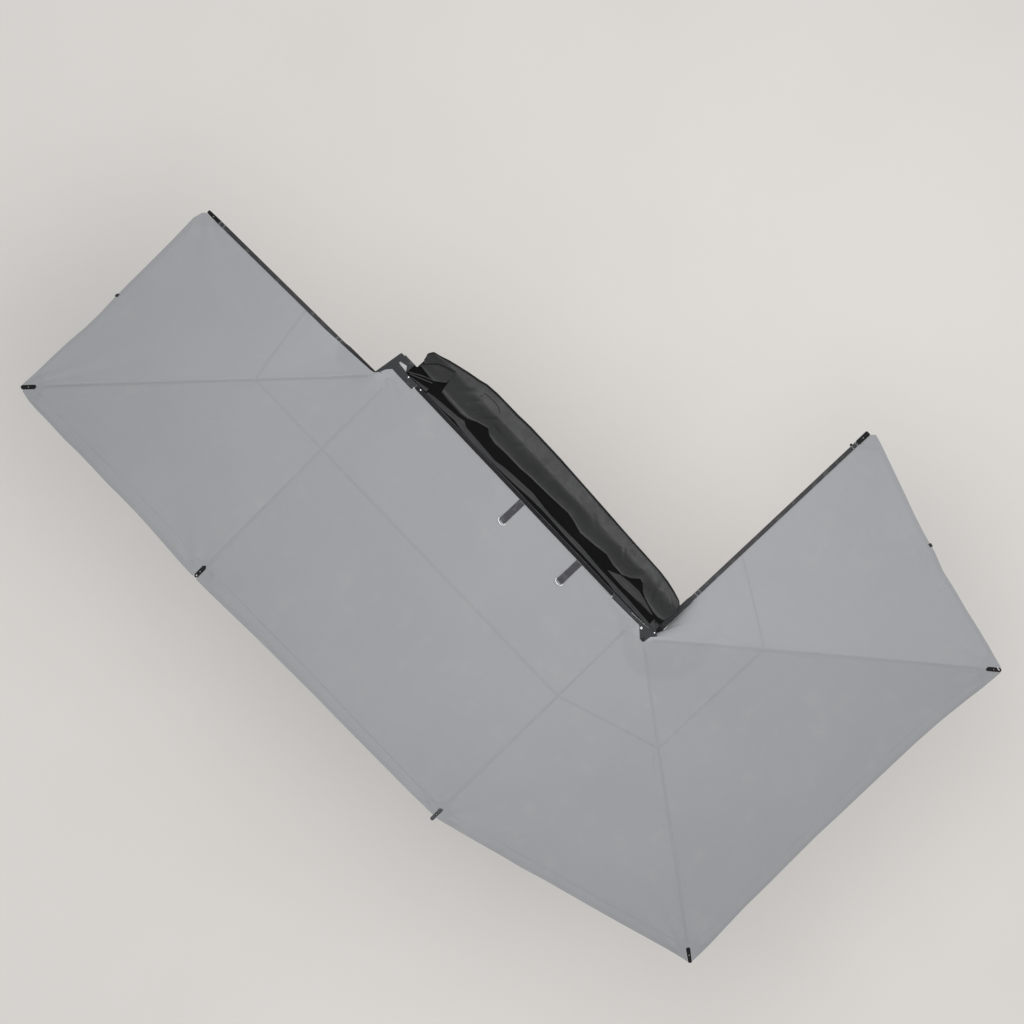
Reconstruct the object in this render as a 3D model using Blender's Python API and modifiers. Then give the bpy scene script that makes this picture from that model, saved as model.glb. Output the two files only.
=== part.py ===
"""Wrap-around side awning for a vehicle's roof rack, opened out.

Metres, +Z up. +X runs along the case to the vehicle's rear, +Y points at the vehicle.
The origin is the middle of the underside of the middle bracket's foot.
"""

import math
from dataclasses import dataclass

import bmesh
import bpy
from mathutils import Matrix, Vector
from mathutils.bvhtree import BVHTree

# Gaps and clearances
GAP = 0.0003
RUNNING_GAP = 0.0012
PIN_CLEARANCE = 0.0003
SLIDE_CLEARANCE = 0.0004

# Base rail, a C section that is open towards the canopy
RAIL_START = -1.200
RAIL_END = 1.190
RAIL_TOP = 0.095
RAIL_BACK = -0.040
RAIL_DEPTH = 0.105
RAIL_WALL = 0.003
RAIL_TURN_DOWN = 0.012
RAIL_BOTTOM_SHELF = 0.060
RAIL_RIB_DEPTH = 0.005
RAIL_RIB_HEIGHTS = (0.055, -0.025)

# Mounting brackets
BRACKET_SPACING = 0.800
BRACKET_WIDTH = 0.070
BRACKET_THICKNESS = 0.006
BRACKET_HEIGHT = 0.062
BRACKET_FILLET = 0.006
FOOT_REACH = 0.040
SLOT_WIDTH = 0.0085
SLOT_LENGTH = 0.030
SLOT_SPREAD = 0.018
SLOT_SIDES = 12
FILLET_STEPS = 4
BRACKET_BOLT_SPREAD = 0.021
BRACKET_BOLT_HEIGHT = 0.033

# Bolt holes
BOLT_RADIUS = 0.004
HOLE_SIDES = 8
FRONT_BOLT_SHARES = (0.22, 0.55, 0.88)
REAR_BOLT_SHARES = (0.10, 0.50, 0.90)

# Hub plates and pins
PLATE = 0.005
END_PLATE = 0.006
PIN_FRONT_INNER = (-1.155, -0.240)
PIN_FRONT_OUTER = (-1.241, -0.277)
PIN_REAR_INNER = (1.109, -0.175)
PIN_REAR_OUTER = (1.234, -0.195)
PIN_REAR_END = (1.266, -0.066)
PIN_RADIUS = 0.008
PIN_HEAD_RADIUS = 0.013
PIN_HEAD_HEIGHT = 0.006
PIN_HEAD_CHAMFER = 0.002
SPACER_RADIUS = 0.0135
PLATE_RIM = 0.027
PLATE_CORNER = 0.012
FRONT_END_PLATE_REACH = 0.235
REAR_END_PLATE_REACH = 0.150
HUB_TONGUE = 0.185
REAR_HUB_TONGUE = 0.251
REAR_TONGUE_INSET = 0.048
HUB_SIDE = 0.020
HUB_INSIDE = 0.035
HUB_POINT = 0.062
HUB_POINT_RADIUS = 0.022
TONGUE_PROUD = 0.024
HUB_BOLT_LINE = 0.060
PIN_SIDES = 16
PLATE_SIDES = 16

# Arms
ARM_WIDTH = 0.030
ARM_HEIGHT = 0.023
ARM_WALL = 0.002
ARM_CORNER = 0.003
ARM_CORNER_STEPS = 3
LEVEL_PITCH = 0.025
BOSS_RADIUS = 0.022
KNUCKLE_REACH = 0.050
SLEEVE_REACH = 0.300
SLEEVE_WIDTH = 0.040
SLEEVE_TAPER = 0.035
TONGUE_LENGTH = 0.045
TIP_LENGTH = 0.100
TIP_TONGUE = 0.018
TIP_EYE_RADIUS = 0.004
TIP_RING_RADIUS = 0.006
TIP_SIDES = 12
TIP_TAPER = 0.007
TIP_DRAFT = 0.002
TIP_SLEEVE_EXTRA = 0.003
TIP_SLEEVE_CORNER = 0.006
HOOK_TURN = 200.0
HOOK_THROAT_SIDES = 8
HOOK_MOUTH = 0.018
BOSS_SIDES = 20
ARM_1_LENGTH = 1.564
ARM_2_LENGTH = 2.352
ARM_3_LENGTH = 1.818
ARM_4_LENGTH = 1.855
ARM_5_LENGTH = 2.165
ARM_6_LENGTH = 2.391
ARM_7_LENGTH = 1.905

# Telescopic legs, stowed in their arms
LEG_INSET = 0.140
LEG_RADIUS = 0.0085
LEG_UPPER_LENGTH = 1.080
LEG_LOWER_RADIUS = 0.0068
LEG_TUBE_WALL = 0.0011
LEG_EYE_LENGTH = 0.026
LEG_EYE_WIDTH = 0.014
LEG_EYE_NECK = 0.0051
LEG_EYE_OVERLAP = 0.008
LEG_EYE_SIDES = 10
LEG_SOLID_END = 0.060
LEG_OVERLAP = 0.120
LEG_SLIDE = 0.780
COLLAR_WALL = 0.0011
COLLAR_LENGTH = 0.048
COLLAR_LIP = 0.005
COLLAR_CHAMFER = 0.001
FOOT_LENGTH = 0.022
FOOT_NOSE = 0.003
FOOT_NOSE_LENGTH = 0.004
LEG_PIN_RADIUS = 0.004
KNOB_RADIUS = 0.009
KNOB_LENGTH = 0.013
KNOB_CHAMFER = 0.002
KNOB_NECK = 0.004
LEG_PIN_HEAD = 0.0025
UNION_OVERLAP = 0.004
TUBE_SIDES = 14

# Canopy
CLOTH = 0.0012
CANOPY_INNER = 0.150
CANOPY_MIDDLE_INNER = 0.200
CANOPY_SAG = 0.030
CANOPY_HOLLOW = 0.012
CANOPY_HEM = 0.010
CANOPY_COLUMNS = 10
CANOPY_MIDDLE_COLUMNS = 14
CANOPY_ROWS = 8
SIDE_DROP = 0.006
MIDDLE_MARGIN = 0.010
KEDER_HOLD = 0.80
KEDER_HOLD_CORNER = 8

# Keder rail along the top of the base rail
KEDER_SIZE = 0.008
KEDER_FLANGE = 0.022
KEDER_FLANGE_THICKNESS = 0.002
KEDER_BORE = 0.005
KEDER_MOUTH = 0.002
KEDER_OVERHANG = 0.004

# Webbing straps and their D-rings
STRAP_PLACES = (0.026, 0.576)
STRAP_WIDTH = 0.050
STRAP_THICKNESS = 0.002
STRAP_REACH = 0.180
STRAP_STEPS = 6
STRAP_LOOP_CLEARANCE = 0.0008
STRAP_LOOP_SIDES = 10
STRAP_LEAD = 0.0127
RING_WIRE = 0.0025
RING_WIDTH = 0.064
RING_DEPTH = 0.034
RING_STEPS = 12
RING_WIRE_SIDES = 2

# Storage bag
BAG_SHEET = 0.003
LID_COLUMNS = 24
LID_ROWS = 9
LID_SEAM = 0.008
LID_FLOOR = 0.003
LID_FALL = 0.160
LID_RIPPLE = 0.004
LID_RIPPLES = 7
LID_EDGE = (
    (-1.135, 0.066),
    (-0.997, 0.136),
    (-0.865, 0.225),
    (-0.587, 0.231),
    (-0.376, 0.211),
    (0.046, 0.178),
    (0.469, 0.139),
    (0.884, 0.106),
    (1.168, 0.112),
    (1.250, 0.119),
)
FLAP_START = -1.140
FLAP_END = 1.140
FLAP_DROP = 0.240
FLAP_INSET = 0.010
FLAP_WAVE = 0.010
FLAP_WAVES = 5
FLAP_COLUMNS = 30
FLAP_ROWS = 5

COLLECTION = "vehicle_side_awning"


@dataclass(frozen=True)
class Arm:
    """One arm: its pin, its height level, its length, and its angle when it is open."""

    number: int
    pin: tuple
    level: int
    length: float
    angle: float
    tip: str = "square"
    wide: bool = False
    leg: bool = False


ARMS = (
    Arm(1, PIN_FRONT_OUTER, 5, ARM_1_LENGTH, 182.05, wide=True),
    Arm(2, PIN_FRONT_OUTER, 3, ARM_2_LENGTH, 228.30, tip="round", leg=True),
    Arm(3, PIN_FRONT_INNER, 1, ARM_3_LENGTH, 271.70, tip="ring"),
    Arm(4, PIN_REAR_INNER, 2, ARM_4_LENGTH, 270.80),
    Arm(5, PIN_REAR_OUTER, 4, ARM_5_LENGTH, 324.90, leg=True),
    Arm(6, PIN_REAR_OUTER, 6, ARM_6_LENGTH, 41.56, tip="hook", leg=True),
    Arm(7, PIN_REAR_END, 7, ARM_7_LENGTH, 89.70, tip="sleeve", wide=True),
)

# Heights that follow from the sizes above
TOP_PLATE_Z = RAIL_TOP + GAP
RAIL_FRONT = RAIL_BACK - RAIL_DEPTH
BRACKET_PLACES = {"front": -BRACKET_SPACING, "middle": 0.0, "rear": BRACKET_SPACING}


def level_top(level):
    """Height of the top of the arms on one level. Level 7 lies under the rear lower plate."""
    top = TOP_PLATE_Z - RUNNING_GAP - (level - 1) * LEVEL_PITCH
    if level < 7:
        return top
    return level_top(6) - ARM_HEIGHT - PLATE - 2 * RUNNING_GAP


def plate_under(level):
    """Bottom and top height of the plate that lies right under a level."""
    top = level_top(level) - ARM_HEIGHT - RUNNING_GAP
    return top - PLATE, top


TOP_PLATE = (TOP_PLATE_Z, TOP_PLATE_Z + PLATE)
FRONT_MID_PLATE = plate_under(1)
FRONT_BASE_PLATE = plate_under(5)
REAR_MID_PLATE = plate_under(2)
REAR_LOWER_PLATE = plate_under(6)
REAR_BASE_PLATE = plate_under(7)
RAIL_BOTTOM = REAR_BASE_PLATE[0] - GAP - RAIL_WALL
COLLAR_RADIUS = LEG_RADIUS + SLIDE_CLEARANCE + COLLAR_WALL
LEG_AXIS_DROP = ARM_WALL + SLIDE_CLEARANCE + COLLAR_RADIUS


# Scene, collections and materials
def clear_scene():
    """Remove every object, so that the model starts from nothing."""
    for obj in list(bpy.data.objects):
        bpy.data.objects.remove(obj, do_unlink=True)


def make_collection(name):
    """Return a new collection that is linked to the scene."""
    collection = bpy.data.collections.new(name)
    bpy.context.scene.collection.children.link(collection)
    return collection


def make_material(name, color, roughness, metallic=0.0):
    """Return a Principled BSDF material."""
    material = bpy.data.materials.new(name)
    material.use_nodes = True
    shader = material.node_tree.nodes["Principled BSDF"]
    shader.inputs["Base Color"].default_value = (*color, 1.0)
    shader.inputs["Roughness"].default_value = roughness
    shader.inputs["Metallic"].default_value = metallic
    material.diffuse_color = (*color, 1.0)
    return material


clear_scene()
AWNING = make_collection(COLLECTION)
MATERIALS = {
    "rail": make_material("rail_aluminium", (0.035, 0.035, 0.038), 0.45, 0.6),
    "plate": make_material("hub_steel", (0.020, 0.020, 0.021), 0.50, 0.4),
    "zinc": make_material("zinc_steel", (0.55, 0.56, 0.58), 0.35, 1.0),
    "arm": make_material("arm_aluminium", (0.070, 0.060, 0.061), 0.40, 0.7),
    "plastic": make_material("black_plastic", (0.012, 0.012, 0.013), 0.55),
    "leg": make_material("leg_aluminium", (0.60, 0.61, 0.63), 0.30, 1.0),
    "canopy": make_material("canopy_fabric", (0.38, 0.39, 0.40), 0.85),
    "bag": make_material("bag_vinyl", (0.022, 0.023, 0.025), 0.38),
    "webbing": make_material("webbing", (0.030, 0.030, 0.032), 0.90),
    "chrome": make_material("chrome", (0.80, 0.80, 0.82), 0.12, 1.0),
}


# Mesh tools
def finish(name, mesh, material, parent=None, smooth=False):
    """Make an object of a mesh, in the awning's collection, under an empty if one is given."""
    mesh.name = name
    mesh.materials.clear()
    mesh.materials.append(MATERIALS[material])
    if smooth:
        mesh.shade_smooth()
        mesh.set_sharp_from_angle(angle=math.radians(35))
    obj = bpy.data.objects.new(name, mesh)
    AWNING.objects.link(obj)
    obj.parent = parent
    return obj


def joint_empty(name, place, turn=0.0, parent=None):
    """Return an empty on a joint's axis, turned about Z by an angle in degrees."""
    empty = bpy.data.objects.new(name, None)
    empty.empty_display_size = 0.05
    empty.location = place
    empty.rotation_euler = (0.0, 0.0, math.radians(turn))
    empty.parent = parent
    AWNING.objects.link(empty)
    return empty


def evaluated_mesh(obj):
    """Return an object's mesh with its modifiers applied, and remove the object."""
    bpy.context.view_layer.update()
    graph = bpy.context.evaluated_depsgraph_get()
    mesh = bpy.data.meshes.new_from_object(obj.evaluated_get(graph))
    bpy.data.objects.remove(obj, do_unlink=True)
    return mesh


def temporary(data):
    """Return a short-lived object of a mesh or curve."""
    obj = bpy.data.objects.new("temporary", data)
    bpy.context.scene.collection.objects.link(obj)
    return obj


def welded(mesh, distance=0.00001):
    """Weld a mesh's loose caps and turn its faces out."""
    bm = bmesh.new()
    bm.from_mesh(mesh)
    bmesh.ops.remove_doubles(bm, verts=bm.verts, dist=distance)
    bmesh.ops.recalc_face_normals(bm, faces=bm.faces)
    bm.to_mesh(mesh)
    bm.free()
    return mesh


def moved(mesh, matrix):
    """Return the mesh, moved by a matrix."""
    mesh.transform(matrix)
    return mesh


def box(low, high):
    """Return a box between two corners."""
    low, high = Vector(low), Vector(high)
    mesh = bpy.data.meshes.new("box")
    bm = bmesh.new()
    place = Matrix.Translation((low + high) / 2) @ Matrix.Diagonal((*(high - low), 1.0))
    bmesh.ops.create_cube(bm, size=1.0, matrix=place)
    bm.to_mesh(mesh)
    bm.free()
    return mesh


def plate(outlines, low, high):
    """Return a flat plate from z low to high. The outlines after the first are holes."""
    curve = bpy.data.curves.new("outline", "CURVE")
    curve.dimensions = "2D"
    curve.fill_mode = "BOTH"
    curve.extrude = (high - low) / 2
    for outline in outlines:
        spline = curve.splines.new("POLY")
        spline.points.add(len(outline) - 1)
        for point, (x, y) in zip(spline.points, outline):
            point.co = (x, y, 0.0, 1.0)
        spline.use_cyclic_u = True
    mesh = welded(evaluated_mesh(temporary(curve)))
    return moved(mesh, Matrix.Translation((0.0, 0.0, (low + high) / 2)))


def profile_along_x(outlines, start, end):
    """Return a bar whose (y, z) section runs along X. The outlines after the first are holes."""
    turn = Matrix(((0, 0, 1, 0), (1, 0, 0, 0), (0, 1, 0, 0), (0, 0, 0, 1)))
    return moved(plate(outlines, start, end), turn)


def circle(radius, centre=(0.0, 0.0), sides=24, start=0.0, turn=360.0):
    """Return points round a circle or an arc, in degrees. A whole circle isn't closed."""
    steps = sides if turn == 360.0 else sides + 1
    angles = [math.radians(start + turn * i / sides) for i in range(steps)]
    return [(centre[0] + radius * math.cos(a), centre[1] + radius * math.sin(a)) for a in angles]


def hole(radius, centre=(0.0, 0.0), sides=24):
    """Return a hole's outline whose flats, not its corners, lie at the radius."""
    return circle(radius / math.cos(math.pi / sides), centre, sides)


def hull_outline(discs, sides=PLATE_SIDES):
    """Return the convex outline round some discs, each (x, y, radius)."""
    points = sorted(
        {
            (round(x, 6), round(y, 6))
            for cx, cy, radius in discs
            for x, y in circle(radius, (cx, cy), sides)
        }
    )

    def chain(path):
        kept = []
        for point in path:
            while len(kept) > 1 and cross(kept[-2], kept[-1], point) <= 1e-9:
                kept.pop()
            kept.append(point)
        return kept[:-1]

    return chain(points) + chain(points[::-1])


def cross(a, b, c):
    """Return twice the signed area of a triangle."""
    return (b[0] - a[0]) * (c[1] - a[1]) - (b[1] - a[1]) * (c[0] - a[0])


def combined(base, tools, operation):
    """Return the base mesh after an exact Boolean with each tool mesh."""
    target = temporary(base)
    cutters = [temporary(tool) for tool in tools]
    for cutter in cutters:
        cutter.hide_render = True
        cutter.display_type = "WIRE"
        modifier = target.modifiers.new("boolean", "BOOLEAN")
        modifier.operation = operation
        modifier.solver = "EXACT"
        modifier.object = cutter
    mesh = evaluated_mesh(target)
    for cutter in cutters:
        bpy.data.objects.remove(cutter, do_unlink=True)
    return mesh


def turned(profile, sides, axis="Z"):
    """Return a turned solid. The profile lists (radius, place along the axis) down the outside."""
    mesh = bpy.data.meshes.new("turned")
    bm = bmesh.new()
    points = [bm.verts.new((radius, 0.0, place)) for radius, place in profile]
    for first, second in zip(points, points[1:]):
        bm.edges.new((first, second))
    if profile[0][0] > 0.0:
        bm.edges.new((points[-1], points[0]))
    bm.to_mesh(mesh)
    bm.free()
    obj = temporary(mesh)
    screw = obj.modifiers.new("screw", "SCREW")
    screw.steps = sides
    screw.render_steps = sides
    screw.use_merge_vertices = True
    screw.merge_threshold = 0.00001
    solid = welded(evaluated_mesh(obj))
    if axis == "X":
        solid.transform(Matrix.Rotation(math.radians(90), 4, "Y"))
    if axis == "Y":
        solid.transform(Matrix.Rotation(math.radians(-90), 4, "X"))
    return solid


def rod(radius, start, end, sides, axis="Z", place=(0.0, 0.0, 0.0)):
    """Return a plain rod along an axis, from start to end, moved to a place."""
    solid = turned([(0.0, end), (radius, end), (radius, start), (0.0, start)], sides, axis)
    return moved(solid, Matrix.Translation(place))


def sheet(columns, rows, place, thickness, lift):
    """Return a sheet from a grid. place(u, v) gives the point, lift is -1, 0 or 1 for Solidify."""
    mesh = bpy.data.meshes.new("sheet")
    bm = bmesh.new()
    bmesh.ops.create_grid(bm, x_segments=columns, y_segments=rows, size=0.5)
    for vert in bm.verts:
        vert.co = place(vert.co.x + 0.5, vert.co.y + 0.5)
    bm.normal_update()
    if sum(face.normal.z * face.calc_area() for face in bm.faces) < 0.0:
        bmesh.ops.reverse_faces(bm, faces=bm.faces)
    bm.to_mesh(mesh)
    bm.free()
    obj = temporary(mesh)
    solidify = obj.modifiers.new("thickness", "SOLIDIFY")
    solidify.thickness = thickness
    solidify.offset = lift
    return evaluated_mesh(obj)


# Base rail, keder rail, brackets and bolts
def rail_section():
    """Return the (y, z) outline of the C section, with two ribs on its back wall."""
    inner = RAIL_BACK - RAIL_WALL
    points = [
        (RAIL_BACK, RAIL_BOTTOM),
        (RAIL_BACK, RAIL_TOP),
        (RAIL_FRONT, RAIL_TOP),
        (RAIL_FRONT, RAIL_TOP - RAIL_TURN_DOWN),
        (RAIL_FRONT + RAIL_WALL, RAIL_TOP - RAIL_TURN_DOWN),
        (RAIL_FRONT + RAIL_WALL, RAIL_TOP - RAIL_WALL),
        (inner, RAIL_TOP - RAIL_WALL),
    ]
    for height in RAIL_RIB_HEIGHTS:
        points += [
            (inner, height + RAIL_WALL / 2),
            (inner - RAIL_RIB_DEPTH, height + RAIL_WALL / 2),
            (inner - RAIL_RIB_DEPTH, height - RAIL_WALL / 2),
            (inner, height - RAIL_WALL / 2),
        ]
    points += [
        (inner, RAIL_BOTTOM + RAIL_WALL),
        (inner - RAIL_BOTTOM_SHELF, RAIL_BOTTOM + RAIL_WALL),
        (inner - RAIL_BOTTOM_SHELF, RAIL_BOTTOM),
    ]
    return points


def hub_bolt_places():
    """Return the (x, y) of the bolts that hold the top plates to the rail's top shelf."""
    front = [RAIL_START + HUB_TONGUE * share for share in FRONT_BOLT_SHARES]
    tongue_end = RAIL_END - REAR_TONGUE_INSET
    rear = [tongue_end - REAR_HUB_TONGUE * share for share in REAR_BOLT_SHARES]
    return [(x, RAIL_BACK - HUB_BOLT_LINE) for x in front + rear]


def bolt_hole(start, end, axis, place):
    """Return the cutter of a bolt's hole."""
    radius = (BOLT_RADIUS + GAP) / math.cos(math.pi / HOLE_SIDES)
    return rod(radius, start, end, HOLE_SIDES, axis, place)


def build_rail():
    """Build the base rail."""
    finish("base_rail", profile_along_x([rail_section()], RAIL_START, RAIL_END), "rail")


def keder_section():
    """Return the (y, z) outline of the keder rail: a flange and a slotted tube."""
    base = RAIL_TOP + GAP
    front = RAIL_FRONT - KEDER_OVERHANG
    back = front + KEDER_SIZE
    middle = base + KEDER_SIZE / 2
    bore = KEDER_BORE / 2
    mouth = KEDER_MOUTH / 2
    centre = front + KEDER_SIZE / 2
    return [
        (back + KEDER_FLANGE, base),
        (back + KEDER_FLANGE, base + KEDER_FLANGE_THICKNESS),
        (back, base + KEDER_FLANGE_THICKNESS),
        (back, base + KEDER_SIZE),
        (front, base + KEDER_SIZE),
        (front, middle + mouth),
        (centre - bore, middle + mouth),
        (centre - bore / 2, middle + bore),
        (centre + bore / 2, middle + bore),
        (centre + bore, middle + bore / 2),
        (centre + bore, middle - bore / 2),
        (centre + bore / 2, middle - bore),
        (centre - bore / 2, middle - bore),
        (centre - bore, middle - mouth),
        (front, middle - mouth),
        (front, base),
    ]


MIDDLE_START = RAIL_START + HUB_TONGUE + MIDDLE_MARGIN
MIDDLE_END = RAIL_END - REAR_TONGUE_INSET - REAR_HUB_TONGUE - MIDDLE_MARGIN
KEDER_FACE = RAIL_FRONT - KEDER_OVERHANG
KEDER_LINE = RAIL_TOP + GAP + KEDER_SIZE / 2


def build_keder():
    """Build the keder rail between the hubs' top plates."""
    keder = profile_along_x([keder_section()], MIDDLE_START, MIDDLE_END)
    finish("keder_rail", keder, "rail")


def bracket(place):
    """Return one L bracket with two slots in its foot, at a place along the rail."""
    back = RAIL_BACK + GAP
    face = back + BRACKET_THICKNESS
    fillet = circle(
        BRACKET_FILLET,
        (face + BRACKET_FILLET, BRACKET_THICKNESS + BRACKET_FILLET),
        sides=FILLET_STEPS,
        start=180.0,
        turn=90.0,
    )
    outline = [
        (back, 0.0),
        (FOOT_REACH, 0.0),
        (FOOT_REACH, BRACKET_THICKNESS),
        *fillet[::-1],
        (face, BRACKET_HEIGHT),
        (back, BRACKET_HEIGHT),
    ]
    solid = profile_along_x([outline], -BRACKET_WIDTH / 2, BRACKET_WIDTH / 2)
    slot_ends = (SLOT_LENGTH - SLOT_WIDTH) / 2
    slots = [
        plate(
            [
                hull_outline(
                    [
                        (side * SLOT_SPREAD, -slot_ends, SLOT_WIDTH / 2),
                        (side * SLOT_SPREAD, slot_ends, SLOT_WIDTH / 2),
                    ],
                    sides=SLOT_SIDES,
                )
            ],
            -BRACKET_THICKNESS,
            2 * BRACKET_THICKNESS,
        )
        for side in (-1, 1)
    ]
    holes = [
        bolt_hole(
            -BRACKET_THICKNESS,
            2 * BRACKET_THICKNESS,
            "Y",
            (side * BRACKET_BOLT_SPREAD, back, BRACKET_BOLT_HEIGHT),
        )
        for side in (-1, 1)
    ]
    solid = combined(solid, slots + holes, "DIFFERENCE")
    return moved(solid, Matrix.Translation((place, 0.0, 0.0)))


def build_brackets():
    """Build the three brackets, each its own piece."""
    for name, place in BRACKET_PLACES.items():
        finish(f"bracket_{name}", bracket(place), "plate")


# Hubs
def pin_hole(pin):
    """Return the outline of a pin's hole in a plate."""
    return hole(PIN_RADIUS + GAP, pin, PIN_SIDES)


def hub_plate(discs, pins, heights):
    """Return one hub plate: a rounded outline round some discs, with the pins' holes."""
    return plate([hull_outline(discs)] + [pin_hole(pin) for pin in pins], *heights)


def top_plate(discs, pins, tongue, bolts):
    """Return a hub's top plate, with the tongue that is bolted to the rail's top shelf."""
    low, high = tongue
    bar = box((*low, TOP_PLATE[0]), (*high, TOP_PLATE[1]))
    solid = combined(hub_plate(discs, [], TOP_PLATE), [bar], "UNION")
    holes = [bolt_hole(-PLATE, 2 * PLATE, "Z", (x, y, TOP_PLATE[0])) for x, y in bolts]
    bores = [plate([pin_hole(pin)], RAIL_TOP - PLATE, RAIL_TOP + 2 * PLATE) for pin in pins]
    return combined(solid, holes + bores, "DIFFERENCE")


def rim(pin):
    """Return the disc of plate round a pin."""
    return (*pin, PLATE_RIM)


FRONT_END_X = (RAIL_START - GAP - END_PLATE, RAIL_START - GAP)
REAR_END_X = (RAIL_END + GAP, RAIL_END + GAP + END_PLATE)
PLATE_INSIDE = RAIL_BACK - RAIL_WALL - RAIL_RIB_DEPTH - GAP - PLATE_CORNER


def build_front_hub():
    """Build the front hub: its top plate, and its bracket of end, mid and base plates."""
    inner, outer = PIN_FRONT_INNER, PIN_FRONT_OUTER
    left, right = FRONT_END_X[0] - HUB_SIDE, FRONT_END_X[1] + HUB_INSIDE
    corners = [(left, PLATE_INSIDE, PLATE_CORNER), (right, PLATE_INSIDE, PLATE_CORNER)]
    tongue = (
        (RAIL_START, RAIL_FRONT - TONGUE_PROUD),
        (RAIL_START + HUB_TONGUE, PLATE_INSIDE),
    )
    bolts = [place for place in hub_bolt_places() if place[0] < 0.0]
    top = top_plate([rim(inner), rim(outer), *corners], [inner, outer], tongue, bolts)
    finish("front_top_plate", top, "plate")
    gusset = FRONT_BASE_PLATE[0] - PLATE
    outline = [
        (RAIL_BACK, RAIL_BOTTOM),
        (RAIL_BACK, RAIL_TOP),
        (-FRONT_END_PLATE_REACH, RAIL_TOP),
        (-FRONT_END_PLATE_REACH, gusset),
        (RAIL_FRONT, RAIL_BOTTOM),
    ]
    end_plate = profile_along_x([outline], *FRONT_END_X)
    mid = hub_plate([rim(inner), rim(outer), *corners], [inner, outer], FRONT_MID_PLATE)
    step = FRONT_END_X[1] + PLATE_CORNER
    base = hub_plate(
        [
            rim(outer),
            (step, outer[1] + PLATE_CORNER, PLATE_CORNER),
            (left, PLATE_INSIDE, PLATE_CORNER),
            (step, PLATE_INSIDE, PLATE_CORNER),
        ],
        [outer],
        FRONT_BASE_PLATE,
    )
    finish("front_hub_bracket", combined(end_plate, [mid, base], "UNION"), "plate")


def build_rear_hub():
    """Build the rear hub: its top plate, its base plate, and its bracket between them."""
    inner, outer, end = PIN_REAR_INNER, PIN_REAR_OUTER, PIN_REAR_END
    inside = (REAR_END_X[0] - 2 * HUB_INSIDE, PLATE_INSIDE, PLATE_CORNER)
    tongue_end = RAIL_END - REAR_TONGUE_INSET
    tongue = (
        (tongue_end - REAR_HUB_TONGUE, RAIL_FRONT - TONGUE_PROUD),
        (tongue_end, PLATE_INSIDE),
    )
    bolts = [place for place in hub_bolt_places() if place[0] > 0.0]
    point = (end[0], end[1] - HUB_POINT, HUB_POINT_RADIUS)
    shoulder = (REAR_END_X[1], PLATE_INSIDE - PLATE_CORNER, PLATE_CORNER)
    top = top_plate(
        [rim(inner), rim(outer), point, shoulder, inside], [inner, outer], tongue, bolts
    )
    finish("rear_top_plate", top, "plate")
    end_plate = box(
        (REAR_END_X[0], -REAR_END_PLATE_REACH, REAR_LOWER_PLATE[0] + PLATE / 2),
        (REAR_END_X[1], RAIL_BACK, RAIL_TOP),
    )
    mid = hub_plate(
        [rim(inner), rim(outer), (outer[0], PLATE_INSIDE, PLATE_CORNER), inside],
        [inner, outer],
        REAR_MID_PLATE,
    )
    mouth = (inside[0], RAIL_FRONT + PLATE_CORNER, PLATE_CORNER)
    lower = hub_plate([rim(outer), rim(end), inside, mouth], [outer, end], REAR_LOWER_PLATE)
    finish("rear_hub_bracket", combined(end_plate, [mid, lower], "UNION"), "plate")
    shelf = (inside[0], inside[1] - RAIL_BOTTOM_SHELF / 2, PLATE_CORNER)
    base = hub_plate([rim(end), inside, shelf], [end], REAR_BASE_PLATE)
    finish("rear_base_plate", base, "plate")


def pivot_pin(top, bottom, shoulders=(), nut=True):
    """Return a pivot pin along Z, from the plate under its head to the plate at its nut.

    Each shoulder is the spacer between two neighbours, as their heights, upper one first.
    """
    profile = [
        (0.0, top + GAP + PIN_HEAD_HEIGHT),
        (PIN_HEAD_RADIUS - PIN_HEAD_CHAMFER, top + GAP + PIN_HEAD_HEIGHT),
        (PIN_HEAD_RADIUS, top + GAP + PIN_HEAD_HEIGHT - PIN_HEAD_CHAMFER),
        (PIN_HEAD_RADIUS, top + GAP),
        (PIN_RADIUS, top + GAP),
    ]
    for upper, lower in shoulders:
        profile += [
            (PIN_RADIUS, upper - GAP),
            (SPACER_RADIUS, upper - GAP),
            (SPACER_RADIUS, lower + GAP),
            (PIN_RADIUS, lower + GAP),
        ]
    if nut:
        profile += [
            (PIN_RADIUS, bottom - GAP),
            (PIN_HEAD_RADIUS, bottom - GAP),
            (PIN_HEAD_RADIUS, bottom - GAP - PIN_HEAD_HEIGHT),
            (0.0, bottom - GAP - PIN_HEAD_HEIGHT),
        ]
    else:
        profile += [(PIN_RADIUS, bottom + GAP), (0.0, bottom + GAP)]
    return turned(profile, PIN_SIDES)


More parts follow.
